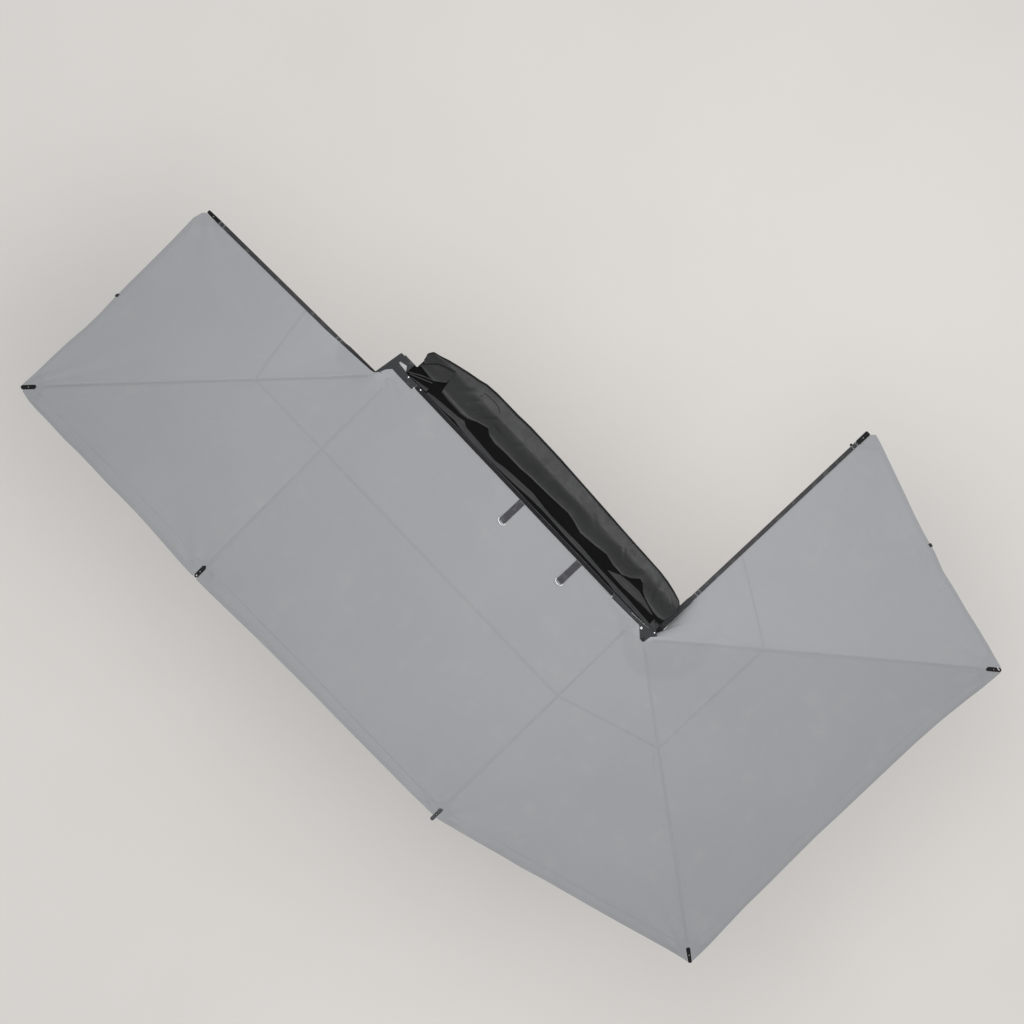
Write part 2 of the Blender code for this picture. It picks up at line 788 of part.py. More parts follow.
def build_pins():
    """Build the five pivot pins with the spacers between the knuckles and plates."""

    def over(level):
        return level_top(level)

    def under(level):
        return level_top(level) - ARM_HEIGHT

    pins = {
        "pin_front_inner": (PIN_FRONT_INNER, pivot_pin(TOP_PLATE[1], FRONT_MID_PLATE[0])),
        "pin_front_outer": (
            PIN_FRONT_OUTER,
            pivot_pin(
                TOP_PLATE[1],
                FRONT_BASE_PLATE[0],
                (
                    (TOP_PLATE[0], FRONT_MID_PLATE[1]),
                    (FRONT_MID_PLATE[0], over(3)),
                    (under(3), over(5)),
                ),
            ),
        ),
        "pin_rear_inner": (
            PIN_REAR_INNER,
            pivot_pin(TOP_PLATE[1], REAR_MID_PLATE[0], ((TOP_PLATE[0], over(2)),)),
        ),
        "pin_rear_outer": (
            PIN_REAR_OUTER,
            pivot_pin(
                TOP_PLATE[1],
                REAR_LOWER_PLATE[0],
                (
                    (TOP_PLATE[0], REAR_MID_PLATE[1]),
                    (REAR_MID_PLATE[0], over(4)),
                    (under(4), over(6)),
                ),
                nut=False,
            ),
        ),
        "pin_rear_end": (PIN_REAR_END, pivot_pin(REAR_LOWER_PLATE[1], REAR_BASE_PLATE[0])),
    }
    for name, (place, mesh) in pins.items():
        pin = finish(name, mesh, "zinc", smooth=True)
        pin.location = (*place, 0.0)


# Arms. In an arm's own frame X runs along the arm from its pin, and its top is at z = 0.
def knuckle(arm):
    """Return an arm's knuckle: a boss with a bore, a bar, and a tongue for the channel."""
    half = (SLEEVE_WIDTH if arm.wide else ARM_WIDTH) / 2
    reach = SLEEVE_REACH if arm.wide else KNUCKLE_REACH
    meet = math.degrees(math.asin(half / BOSS_RADIUS))
    boss = circle(BOSS_RADIUS, sides=BOSS_SIDES, start=meet, turn=360.0 - 2 * meet)
    if arm.wide:
        bar = [
            (reach - SLEEVE_TAPER, -half),
            (reach, -ARM_WIDTH / 2),
            (reach, ARM_WIDTH / 2),
            (reach - SLEEVE_TAPER, half),
        ]
    else:
        bar = [(reach, -half), (reach, half)]
    bore = hole(PIN_RADIUS + PIN_CLEARANCE, sides=PIN_SIDES)
    body = plate([boss + bar, bore], -ARM_HEIGHT, 0.0)
    tongue_half = ARM_WIDTH / 2 - ARM_WALL - GAP
    tongue = box(
        (reach - UNION_OVERLAP, -tongue_half, -ARM_HEIGHT + ARM_WALL),
        (reach + TONGUE_LENGTH, tongue_half, -ARM_WALL - GAP),
    )
    return combined(body, [tongue], "UNION")


def channel_section():
    """Return the (y, z) outline of the inverted U channel."""
    half = ARM_WIDTH / 2
    inner = half - ARM_WALL
    centre = half - ARM_CORNER
    left = circle(ARM_CORNER, (-centre, -ARM_CORNER), ARM_CORNER_STEPS, 180.0, -90.0)
    right = circle(ARM_CORNER, (centre, -ARM_CORNER), ARM_CORNER_STEPS, 90.0, -90.0)
    return [
        (-half, -ARM_HEIGHT),
        *left,
        *right,
        (half, -ARM_HEIGHT),
        (inner, -ARM_HEIGHT),
        (inner, -ARM_WALL),
        (-inner, -ARM_WALL),
        (-inner, -ARM_HEIGHT),
    ]


def leg_pivot(arm):
    """Return the place of the leg's hinge in an arm's frame."""
    return Vector((arm.length - LEG_INSET, 0.0, -LEG_AXIS_DROP))


def channel(arm):
    """Return an arm's channel, with the holes of the leg's hinge pin where it has a leg."""
    start = (SLEEVE_REACH if arm.wide else KNUCKLE_REACH) + GAP
    end = arm.length - TIP_LENGTH - GAP
    solid = profile_along_x([channel_section()], start, end)
    if not (arm.leg or arm.tip == "sleeve"):
        return solid
    radius = (LEG_PIN_RADIUS + GAP) / math.cos(math.pi / HOLE_SIDES)
    first_side = -ARM_WIDTH if arm.leg else 0.0
    hole_tool = rod(radius, first_side, ARM_WIDTH, HOLE_SIDES, "Y", leg_pivot(arm))
    return combined(solid, [hole_tool], "DIFFERENCE")


def tip_outline(style):
    """Return the outlines of a tip fitting, seen from above, from x = 0 to its length."""
    half = ARM_WIDTH / 2
    end = TIP_LENGTH
    centre = (end - half, 0.0)
    eye = hole(TIP_EYE_RADIUS, (end / 2, 0.0), TIP_SIDES)
    if style in ("round", "ring"):
        nose = circle(half, centre, TIP_SIDES, -90.0, 180.0)
        outline = [(0.0, -half), *nose, (0.0, half)]
        ring = hole(TIP_RING_RADIUS, centre, TIP_SIDES)
        return [outline, eye, ring] if style == "ring" else [outline, eye]
    if style == "hook":
        crook = circle(half, centre, TIP_SIDES, -90.0, HOOK_TURN)
        throat_start = HOOK_TURN - 90.0
        throat = circle(TIP_RING_RADIUS, centre, HOOK_THROAT_SIDES, throat_start, -HOOK_TURN)
        mouth = (end - half - HOOK_MOUTH, half)
        return [[(0.0, -half), *crook, *throat, mouth, (0.0, half)], eye]
    if style == "sleeve":
        wide = half + TIP_SLEEVE_EXTRA
        corner = TIP_SLEEVE_CORNER
        outline = [
            (0.0, -half),
            (corner, -wide),
            (end - corner, -wide),
            (end, -wide + corner),
            (end, wide - corner),
            (end - corner, wide),
            (corner, wide),
            (0.0, half),
        ]
        return [outline, eye]
    outline = [
        (0.0, -half),
        (end - TIP_TAPER, -half + TIP_DRAFT),
        (end, -half + TIP_TAPER),
        (end, half - TIP_TAPER),
        (end - TIP_TAPER, half - TIP_DRAFT),
        (0.0, half),
    ]
    return [outline, eye]


def tip_fitting(arm):
    """Return an arm's tip fitting with the tongue that sits in the channel."""
    start = arm.length - TIP_LENGTH
    body = moved(
        plate(tip_outline(arm.tip), -ARM_HEIGHT, 0.0), Matrix.Translation((start, 0.0, 0.0))
    )
    tongue_half = ARM_WIDTH / 2 - ARM_WALL - GAP
    knob_end = LEG_INSET - TIP_LENGTH + KNOB_RADIUS
    tongue_length = knob_end if arm.tip == "sleeve" else TIP_TONGUE
    tongue = box(
        (start - tongue_length, -tongue_half, -ARM_HEIGHT + ARM_WALL),
        (start + UNION_OVERLAP, tongue_half, -ARM_WALL - GAP),
    )
    pieces = [tongue]
    if arm.tip == "sleeve":
        pieces.append(moved(side_knob(tongue_half), Matrix.Translation(leg_pivot(arm))))
    return combined(body, pieces, "UNION")


def side_knob(inside):
    """Return the clamping knob of the rear end arm, whose stud starts inside the tongue."""
    side = ARM_WIDTH / 2 + GAP
    profile = [
        *knob_profile(side),
        (LEG_PIN_RADIUS, inside - UNION_OVERLAP),
        (0.0, inside - UNION_OVERLAP),
    ]
    return turned(profile, TUBE_SIDES, "Y")


def knob_profile(side):
    """Return the profile of a knob from its outer face down to its stud."""
    return [
        (0.0, side + KNOB_LENGTH),
        (KNOB_RADIUS - KNOB_CHAMFER, side + KNOB_LENGTH),
        (KNOB_RADIUS, side + KNOB_LENGTH - KNOB_CHAMFER),
        (KNOB_RADIUS, side + KNOB_NECK),
        (LEG_PIN_RADIUS + KNOB_CHAMFER, side),
        (LEG_PIN_RADIUS, side),
    ]


# Legs. In a leg's own frame X runs from its hinge to its foot, and the hinge axis is Y.
def leg_upper():
    """Return the upper tube with its hinge eye."""
    bore = LEG_RADIUS - LEG_TUBE_WALL
    tube = turned(
        [
            (0.0, LEG_SOLID_END),
            (bore, LEG_SOLID_END),
            (bore, LEG_UPPER_LENGTH),
            (LEG_RADIUS, LEG_UPPER_LENGTH),
            (LEG_RADIUS, LEG_EYE_LENGTH - LEG_EYE_OVERLAP),
            (0.0, LEG_EYE_LENGTH - LEG_EYE_OVERLAP),
        ],
        TUBE_SIDES,
        "X",
    )
    outline = [
        *circle(LEG_RADIUS, sides=LEG_EYE_SIDES, start=90.0, turn=180.0),
        (LEG_EYE_LENGTH, -LEG_EYE_NECK),
        (LEG_EYE_LENGTH, LEG_EYE_NECK),
    ]
    bore_hole = hole(LEG_PIN_RADIUS + PIN_CLEARANCE, sides=HOLE_SIDES)
    eye = plate([outline, bore_hole], -LEG_EYE_WIDTH / 2, LEG_EYE_WIDTH / 2)
    eye.transform(Matrix.Rotation(math.radians(90), 4, "X"))
    return combined(tube, [eye], "UNION")


def leg_collar():
    """Return the twist collar that clamps the lower tube."""
    bore = LEG_RADIUS + SLIDE_CLEARANCE
    neck = LEG_LOWER_RADIUS + SLIDE_CLEARANCE
    end = LEG_UPPER_LENGTH + GAP
    return turned(
        [
            (COLLAR_RADIUS - COLLAR_CHAMFER, end + COLLAR_LIP),
            (COLLAR_RADIUS, end + COLLAR_LIP - COLLAR_CHAMFER),
            (COLLAR_RADIUS, end - COLLAR_LENGTH),
            (bore, end - COLLAR_LENGTH),
            (bore, end),
            (neck, end),
            (neck, end + COLLAR_LIP),
        ],
        TUBE_SIDES,
        "X",
    )


def leg_lower():
    """Return the lower tube, open at its hidden end, with its foot."""
    bore = LEG_LOWER_RADIUS - LEG_TUBE_WALL
    foot = LEG_UPPER_LENGTH + GAP + COLLAR_LIP + GAP
    inside = LEG_UPPER_LENGTH - LEG_SLIDE - LEG_OVERLAP
    return turned(
        [
            (0.0, foot + FOOT_LENGTH),
            (COLLAR_RADIUS - FOOT_NOSE, foot + FOOT_LENGTH),
            (COLLAR_RADIUS, foot + FOOT_LENGTH - FOOT_NOSE_LENGTH),
            (COLLAR_RADIUS, foot + FOOT_NOSE),
            (LEG_LOWER_RADIUS, foot),
            (LEG_LOWER_RADIUS, inside),
            (bore, inside),
            (bore, foot),
            (0.0, foot),
        ],
        TUBE_SIDES,
        "X",
    )


def leg_pin():
    """Return the hinge pin across the channel, with its head and its knob, along Y."""
    side = ARM_WIDTH / 2 + GAP
    profile = [
        *knob_profile(side),
        (LEG_PIN_RADIUS, -side),
        (LEG_PIN_RADIUS + LEG_PIN_HEAD, -side),
        (LEG_PIN_RADIUS + LEG_PIN_HEAD, -side - LEG_PIN_HEAD),
        (0.0, -side - LEG_PIN_HEAD),
    ]
    return turned(profile, TUBE_SIDES, "Y")


def build_leg(arm, arm_frame):
    """Build a stowed leg under an empty on its hinge."""
    name = f"leg_{arm.number}"
    pin = moved(leg_pin(), Matrix.Translation(leg_pivot(arm)))
    finish(f"{name}_pivot_knob", pin, "plastic", arm_frame, smooth=True)
    frame = joint_empty(f"{name}_hinge", leg_pivot(arm), 180.0, arm_frame)
    finish(f"{name}_upper_tube", leg_upper(), "leg", frame, smooth=True)
    finish(f"{name}_collar", leg_collar(), "plastic", frame, smooth=True)
    finish(f"{name}_lower_tube", leg_lower(), "leg", frame, smooth=True)


def build_arms():
    """Build the seven arms, each under an empty on its pin."""
    frames = {}
    for arm in ARMS:
        place = (*arm.pin, level_top(arm.level))
        frame = joint_empty(f"arm_{arm.number}_hinge", place, arm.angle)
        frames[arm.number] = frame
        finish(f"arm_{arm.number}_knuckle", knuckle(arm), "plate", frame)
        finish(f"arm_{arm.number}_channel", channel(arm), "arm", frame)
        finish(f"arm_{arm.number}_tip", tip_fitting(arm), "plastic", frame)
        if arm.leg:
            build_leg(arm, frame)
    return frames


# Canopy
def along(arm, distance, aside=0.0, drop=0.0):
    """Return a point on an arm's top, a distance from its pin, moved to its left and down."""
    angle = math.radians(arm.angle)
    way = Vector((math.cos(angle), math.sin(angle), 0.0))
    left = Vector((-way.y, way.x, 0.0))
    base = Vector((*arm.pin, level_top(arm.level) - drop))
    return base + way * distance + left * aside


def between(a, b, share):
    """Return the point a share of the way from a to b."""
    return a + (b - a) * share


def seam_line(arm, inner, side):
    """Return the start and end of a panel's edge on an arm. side is +1 or -1, to its left or right."""
    outer = arm.length - TIP_LENGTH - GAP
    if arm.wide:
        shoulder = SLEEVE_REACH - SLEEVE_TAPER
        widening = (SLEEVE_WIDTH - ARM_WIDTH) / 2 * (outer - inner) / (outer - shoulder)
        start = along(arm, inner, side * (ARM_WIDTH / 2 + GAP + widening), SIDE_DROP)
        end = along(arm, outer, side * (ARM_WIDTH / 2 + GAP), SIDE_DROP)
        return start, end
    start = along(arm, inner, side * GAP / 2) + Vector((0.0, 0.0, GAP))
    end = along(arm, outer, side * GAP / 2) + Vector((0.0, 0.0, GAP))
    return start, end


def edge_point(line, keder, share, first):
    """Return the point at a share of a panel's side. A middle panel starts at the keder rail."""
    if keder is None:
        return between(*line, share)
    if share < first:
        return between(keder, line[0], share / first)
    return between(*line, (share - first) / (1.0 - first))


def canopy_panel(first_arm, second_arm, columns, rows, kederline=None):
    """Return a panel from the first arm, counter-clockwise to the second one."""
    inner = CANOPY_MIDDLE_INNER if kederline else CANOPY_INNER
    lines = seam_line(first_arm, inner, 1), seam_line(second_arm, inner, -1)
    keder = kederline or (None, None)
    step = 1.0 / rows
    flats = [
        CANOPY_HEM if arm.wide else ARM_WIDTH / 2 + ARM_WALL for arm in (first_arm, second_arm)
    ]

    def place(u, v):
        column = round(u * columns)
        hollow = 1.0 - CANOPY_HOLLOW * 4 * u * (1 - u) * v
        share = v * hollow
        a = edge_point(lines[0], keder[0], share, step)
        b = edge_point(lines[1], keder[1], share, step)
        width = (b - a).length
        on_arms = keder[0] is None or share >= step * 0.99
        flat_a = flats[0] / width if on_arms else 0.0
        flat_b = flats[1] / width if on_arms else 0.0
        if column == 0:
            across, rise = 0.0, 0.0
        elif column == columns:
            across, rise = 1.0, 1.0
        else:
            rise = (column - 1) / (columns - 2)
            across = flat_a + (1.0 - flat_a - flat_b) * rise
        point = between(a, b, across)
        point.z = a.z + (b.z - a.z) * rise
        if kederline:
            hold = 1.0 - (2.0 * rise - 1.0) ** KEDER_HOLD_CORNER
            hold *= max(0.0, 1.0 - share / KEDER_HOLD)
            point.z += (kederline[0].z - point.z) * hold
        point.z -= CANOPY_SAG * 4 * rise * (1 - rise) * share
        return point

    return sheet(columns, rows, place, CLOTH, 1.0)


def build_canopy(frames):
    """Build the six panels. Each gore hangs under the frame of the arm that carries it."""
    arms = {arm.number: arm for arm in ARMS}
    ends = (MIDDLE_START + TONGUE_PROUD, MIDDLE_END - TONGUE_PROUD)
    keder = [Vector((x, KEDER_FACE - GAP, KEDER_LINE - CLOTH / 2)) for x in ends]
    middle = canopy_panel(arms[3], arms[4], CANOPY_MIDDLE_COLUMNS, CANOPY_ROWS, keder)
    finish("canopy_panel_3_4", middle, "canopy")
    for first, second, carrier in ((1, 2, 2), (2, 3, 2), (4, 5, 5), (5, 6, 6), (6, 7, 6)):
        mesh = canopy_panel(arms[first], arms[second], CANOPY_COLUMNS, CANOPY_ROWS)
        frame = frames[carrier]
        turn = Matrix.Rotation(frame.rotation_euler.z, 4, "Z")
        mesh.transform((Matrix.Translation(frame.location) @ turn).inverted())
        finish(f"canopy_panel_{first}_{second}", mesh, "canopy", frame)
    return middle


# Straps with their D-rings, which lie on the middle panel
def cloth_height(tree, x, y):
    """Return the height of the middle panel's top at a place."""
    hit = tree.ray_cast(Vector((x, y, 1.0)), Vector((0.0, 0.0, -1.0)))
    return hit[0].z


def strap_and_ring(tree, place):
    """Return one strap, with a loop at its end, and the D-ring in the loop."""
    start = KEDER_FACE - 2 * GAP
    loop = RING_WIRE + STRAP_LOOP_CLEARANCE
    outer = loop + STRAP_THICKNESS
    end = start - STRAP_REACH
    sides = (-STRAP_WIDTH / 2, 0.0, STRAP_WIDTH / 2)

    def height(y):
        cloth = max(cloth_height(tree, place + side, y) for side in sides)
        return max(cloth, level_top(1) + RUNNING_GAP) + GAP

    ys = [start + (end - start) * i / STRAP_STEPS for i in range(STRAP_STEPS)]
    floor = max(height(end), height(end - outer))
    under = [(y, height(y)) for y in ys]
    centre = (end, floor + outer)
    round_loop = circle(outer, centre, STRAP_LOOP_SIDES, 270.0, -180.0)
    over = [(y, z + STRAP_THICKNESS) for y, z in under[::-1]]
    lead = (end + STRAP_LEAD, floor + STRAP_THICKNESS)
    outline = under + round_loop + [lead] + over
    eye = hole(loop, centre, STRAP_LOOP_SIDES)
    mesh = profile_along_x([outline, eye], place - STRAP_WIDTH / 2, place + STRAP_WIDTH / 2)
    return mesh, d_ring(Vector((place, *centre)))


def d_ring(centre):
    """Return a flat D-ring whose straight bar lies along X at the centre."""
    half = RING_WIDTH / 2
    bow = [
        Vector((x, -RING_DEPTH * math.sqrt(max(0.0, 1 - (x / half) ** 2)), 0.0))
        for x in [half * math.cos(math.pi * i / RING_STEPS) for i in range(RING_STEPS + 1)]
    ]
    curve = bpy.data.curves.new("ring", "CURVE")
    curve.dimensions = "3D"
    curve.bevel_depth = RING_WIRE
    curve.bevel_resolution = RING_WIRE_SIDES
    curve.use_fill_caps = True
    spline = curve.splines.new("POLY")
    spline.points.add(len(bow) - 1)
    for point, co in zip(spline.points, bow):
        point.co = (*(centre + co), 1.0)
    spline.use_cyclic_u = True
    return welded(evaluated_mesh(temporary(curve)))


def build_straps(middle):
    """Build the two straps and the two D-rings."""
    bm = bmesh.new()
    bm.from_mesh(middle)
    tree = BVHTree.FromBMesh(bm)
    bm.free()
    pairs = [strap_and_ring(tree, place) for place in STRAP_PLACES]
    for side, (strap, ring) in zip(("front", "rear"), pairs):
        finish(f"strap_{side}", strap, "webbing")
        finish(f"strap_ring_{side}", ring, "chrome", smooth=True)


# Storage bag
def lid_edge(x):
    """Return how far the lid reaches at a place along the rail."""
    for (x0, y0), (x1, y1) in zip(LID_EDGE, LID_EDGE[1:]):
        if x <= x1:
            return y0 + (y1 - y0) * (x - x0) / (x1 - x0)
    return LID_EDGE[-1][1]


def smooth_step(t):
    """Return a smooth 0 to 1 step."""
    t = min(max(t, 0.0), 1.0)
    return t * t * (3 - 2 * t)


def build_bag():
    """Build the lid, thrown back over the rack, and the lower flap under the rail."""
    start, end = LID_EDGE[0][0], LID_EDGE[-1][0]
    hinge_y = RAIL_BACK + GAP
    hinge_z = RAIL_TOP - BAG_SHEET / 2
    floor = LID_FLOOR + BAG_SHEET / 2

    def lid_place(u, v):
        x = start + (end - start) * u
        row = v * LID_ROWS
        reach = lid_edge(x) - hinge_y - LID_SEAM
        if row <= 1.0:
            out = LID_SEAM * row
        else:
            out = LID_SEAM + reach * (row - 1.0) / (LID_ROWS - 1.0)
        fall = smooth_step((out - LID_SEAM) / LID_FALL)
        ripple = LID_RIPPLE * 4 * (1 - fall) * fall * math.sin(LID_RIPPLES * 2 * math.pi * u)
        return Vector((x, hinge_y + out, hinge_z + (floor - hinge_z) * fall + ripple))

    finish("bag_lid", sheet(LID_COLUMNS, LID_ROWS, lid_place, BAG_SHEET, 0.0), "bag")

    top = RAIL_BOTTOM - 2 * GAP

    def flap_place(u, v):
        x = FLAP_START + (FLAP_END - FLAP_START) * u
        wave = FLAP_WAVE * v * math.cos(2 * math.pi * FLAP_WAVES * u)
        return Vector((x, RAIL_BACK - FLAP_INSET - wave, top - FLAP_DROP * v))

    flap = sheet(FLAP_COLUMNS, FLAP_ROWS, flap_place, BAG_SHEET, 0.0)
    finish("bag_lower_flap", flap, "bag")


def build():
    """Build the whole awning."""
    build_rail()
    build_keder()
    build_brackets()
    build_front_hub()
    build_rear_hub()
    build_pins()
    frames = build_arms()
    middle = build_canopy(frames)
    build_straps(middle)
    build_bag()


build()
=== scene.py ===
"""Looks of a wrap-around vehicle side awning, opened out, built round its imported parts.

Metres, +Z up. +X runs along the case to the vehicle's rear, +Y points at the vehicle.
"""

import logging
import math
from dataclasses import dataclass
from enum import Enum
from typing import ClassVar

import bpy
import numpy as np
from mathutils import Matrix, Vector
from mathutils.bvhtree import BVHTree


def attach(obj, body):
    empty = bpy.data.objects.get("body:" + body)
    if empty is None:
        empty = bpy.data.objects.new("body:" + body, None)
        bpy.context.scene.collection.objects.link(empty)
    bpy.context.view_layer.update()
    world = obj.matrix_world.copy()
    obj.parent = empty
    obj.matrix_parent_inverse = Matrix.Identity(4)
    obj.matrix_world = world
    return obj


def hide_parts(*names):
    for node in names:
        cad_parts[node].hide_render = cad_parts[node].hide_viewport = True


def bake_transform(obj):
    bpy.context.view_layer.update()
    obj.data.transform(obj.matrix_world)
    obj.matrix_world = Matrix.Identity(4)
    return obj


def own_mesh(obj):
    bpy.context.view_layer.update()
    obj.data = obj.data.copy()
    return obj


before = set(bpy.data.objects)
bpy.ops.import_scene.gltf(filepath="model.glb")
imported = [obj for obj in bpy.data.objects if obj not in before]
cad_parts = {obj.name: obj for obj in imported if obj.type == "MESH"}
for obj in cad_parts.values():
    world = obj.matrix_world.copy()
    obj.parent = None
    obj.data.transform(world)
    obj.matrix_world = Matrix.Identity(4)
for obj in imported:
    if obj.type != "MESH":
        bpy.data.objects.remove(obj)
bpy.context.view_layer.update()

LOG = logging.getLogger("awning")

Array = np.ndarray
Point = tuple[float, float]
Place = tuple[float, float, float]
Color = tuple[float, float, float]
Socket = bpy.types.NodeSocket
Material = bpy.types.Material

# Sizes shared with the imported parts
GAP = 0.0003  # room that keeps touching pieces apart
ARM_TOPS = (-0.0059, 0.0441, 0.0941, 0.0691, 0.0191, -0.0309, -0.0613)  # arms 1 to 7
TIP_LENGTH = 0.100
PLATE_TOP = 0.1003
RAIL_TOP = 0.095
PIN_HEAD_TOP = 0.1066
PIN_FRONT_INNER = (-1.155, -0.240)
PIN_FRONT_OUTER = (-1.241, -0.277)
PIN_REAR_INNER = (1.109, -0.175)
PIN_REAR_OUTER = (1.234, -0.195)
PIN_REAR_END = (1.266, -0.066)

# The cloth beside an arm
CLOTH = 0.0008  # its thickness
NOTCH = 0.004  # run over which it steps aside round a tip
KNEE = 0.955  # share of a panel's side that ends at the notch
SIDE_DROP = 0.006  # how far it hangs beside arms 1 and 7
TIP_CLEARANCE = 0.0009
TIP_DIP = 0.0022

UP = np.array([0.0, 0.0, 1.0])
SHARP = math.radians(42.0)  # faces that meet at more than this keep an edge


class Body(Enum):
    """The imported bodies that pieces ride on."""

    CASE = "case"
    LID = "lid"
    ARM_1 = "arm_1"
    ARM_2 = "arm_2"
    ARM_3 = "arm_3"
    ARM_4 = "arm_4"
    ARM_5 = "arm_5"
    ARM_6 = "arm_6"
    ARM_7 = "arm_7"


class Slot(Enum):
    """Material slot labels passed with the added pieces; nothing reads them."""

    ZINC = "zinc"
    PLASTIC = "plastic"
    CANOPY = "canopy"
    BAG = "bag"
    WEBBING = "webbing"
    CHROME = "chrome"


def new_object(name: str, data: bpy.types.ID) -> bpy.types.Object:
    """Add an object to the scene."""
    obj = bpy.data.objects.new(name, data)
    bpy.context.scene.collection.objects.link(obj)
    return obj


# Shapes: points and faces, before they become pieces
@dataclass
class Shape:
    """Points and faces of one piece under construction."""

    points: Array
    faces: list

    def moved(self, matrix: Matrix) -> "Shape":
        """Return the shape, moved by a matrix."""
        turn = np.array(matrix)
        return Shape(self.points @ turn[:3, :3].T + turn[:3, 3], self.faces)

    @staticmethod
    def joined(shapes: "list[Shape]") -> "Shape":
        """Return one shape made of several.

        Args:
            shapes: the shapes to join.

        Returns:
            The joined shape.
        """
        points, faces, count = [], [], 0
        for shape in shapes:
            points.append(shape.points)
            faces += [tuple(i + count for i in face) for face in shape.faces]
            count += len(shape.points)
        return Shape(np.concatenate(points), faces)

    def piece(
        self, name: str, material: Material, body: Body | None, slot: Slot
    ) -> bpy.types.Object:
        """Make the shape a smooth-shaded object that rides on a body.

        Args:
            name: the piece's name.
            material: its material.
            body: the body that it moves with, or None.
            slot: not used.

        Returns:
            The new object.
        """
        mesh = bpy.data.meshes.new(name)
        mesh.from_pydata(self.points.tolist(), [], self.faces)
        mesh.validate()
        mesh.shade_smooth()
        mesh.set_sharp_from_angle(angle=SHARP)
        mesh.materials.append(material)
        obj = new_object(name, mesh)
        if body is not None:
            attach(obj, body.value)
        return obj


def unit(vectors: Array) -> Array:
    """Return vectors scaled to length one."""
    return vectors / np.maximum(np.linalg.norm(vectors, axis=-1, keepdims=True), 1e-12)


def smooth_step(values: Array, low: float = 0.0, high: float = 1.0) -> Array:
    """Return a smooth 0 to 1 step of the values between low and high."""
    t = np.clip((np.asarray(values, float) - low) / (high - low), 0.0, 1.0)
    return t * t * (3 - 2 * t)


def soft_max(a: Array, b: Array | float, blend: float = 0.005) -> Array:
    """Return the larger of two heights, rounded where they meet."""
    return (a + b + np.sqrt((a - b) ** 2 + blend**2)) / 2


def turned(place: Place, angle: float, axis: str) -> Matrix:
    """Return a matrix that turns about an axis by an angle, then moves to a place."""
    return Matrix.Translation(place) @ Matrix.Rotation(angle, 4, axis)


def grid_normals(grid: Array) -> Array:
    """Return the unit normal at each point of a grid of points."""
    return unit(np.cross(np.gradient(grid, axis=0), np.gradient(grid, axis=1)))


def points_at(x: Array, y: Array, z: Array) -> Array:
    """Return a grid of points from the grids of their coordinates."""
    return np.stack(np.broadcast_arrays(x, y, z), axis=-1)


def rows_of(start: float, end: float, count: int) -> Array:
    """Return even steps down the rows of a grid."""
    return np.linspace(start, end, count)[:, None]


def columns_of(start: float, end: float, count: int) -> Array:
    """Return even steps across the columns of a grid."""
    return np.linspace(start, end, count)[None, :]


def line_at(line: tuple, x: Array) -> Array:
    """Return the second coordinate of a line of points where the first one is x."""
    first, second = zip(*line)
    return np.interp(x, first, second)


def grid_faces(rows: int, columns: int, start: int = 0) -> list:
    """Return the quads between the points of a grid that is stored row by row.

    Args:
        rows: the number of rows.
        columns: the number of columns.
        start: the number of the grid's first point.

    Returns:
        The quads, as lists of point numbers.
    """
    index = start + np.arange(rows * columns).reshape(rows, columns)
    corners = index[:-1, :-1], index[1:, :-1], index[1:, 1:], index[:-1, 1:]
    return np.stack([corner.ravel() for corner in corners], axis=1).tolist()


def ring_faces(near: int, far: int, sides: int) -> list:
    """Return the quads between two rings of points.

    Args:
        near: the number of the first ring's first point.
        far: the number of the second ring's first point.
        sides: the number of points in each ring.

    Returns:
        The quads.
    """
    pairs = [(j, (j + 1) % sides) for j in range(sides)]
    return [(near + j, near + k, far + k, far + j) for j, k in pairs]


def sheet_shape(grid: Array, thickness: float) -> Shape:
    """Return a closed sheet whose middle follows a grid of points.

    Args:
        grid: points in rows and columns.
        thickness: the sheet's thickness.

    Returns:
        The sheet, with its rim.
    """
    rows, columns = grid.shape[:2]
    offset = grid_normals(grid) * thickness / 2
    points = np.concatenate([(grid + offset).reshape(-1, 3), (grid - offset).reshape(-1, 3)])
    count = rows * columns
    index = np.arange(count).reshape(rows, columns)
    rim = [*index[:, 0], *index[-1, 1:], *index[-2::-1, -1], *index[0, -2:0:-1]]
    faces = grid_faces(rows, columns)
    faces += [face[::-1] for face in grid_faces(rows, columns, count)]
    faces += [(b, a, a + count, b + count) for a, b in zip(rim, rim[1:] + rim[:1])]
    return Shape(points, [tuple(int(i) for i in face) for face in faces])


def tube_shape(path: Array, radius: float, sides: int = 10, closed: bool = False) -> Shape:
    """Return a round tube along a path.

    Args:
        path: the points that the tube's middle follows.
        radius: the tube's radius.
        sides: the number of sides round it.
        closed: whether its end joins its start.

    Returns:
        The tube, with flat ends where it isn't closed.
    """
    path = np.asarray(path, float)
    count = len(path)
    ways = np.roll(path, -1, 0) - np.roll(path, 1, 0) if closed else np.gradient(path, axis=0)
    ways = unit(ways)
    side = np.cross(ways[0], (0.0, 0.0, 1.0))
    if np.linalg.norm(side) < 0.1:
        side = np.cross(ways[0], (0.0, 1.0, 0.0))
    turns = np.arange(sides) * 2 * math.pi / sides
    rings = []
    for point, way in zip(path, ways):
        side = unit(side - way * np.dot(side, way))
        rings.append(
            point
            + radius * np.outer(np.cos(turns), side)
            + radius * np.outer(np.sin(turns), np.cross(way, side))
        )
    faces = []
    for i in range(count if closed else count - 1):
        faces += ring_faces(i * sides, (i + 1) % count * sides, sides)
    if not closed:
        faces += [tuple(range(sides))[::-1], tuple(range((count - 1) * sides, count * sides))]
    return Shape(np.concatenate(rings), faces)


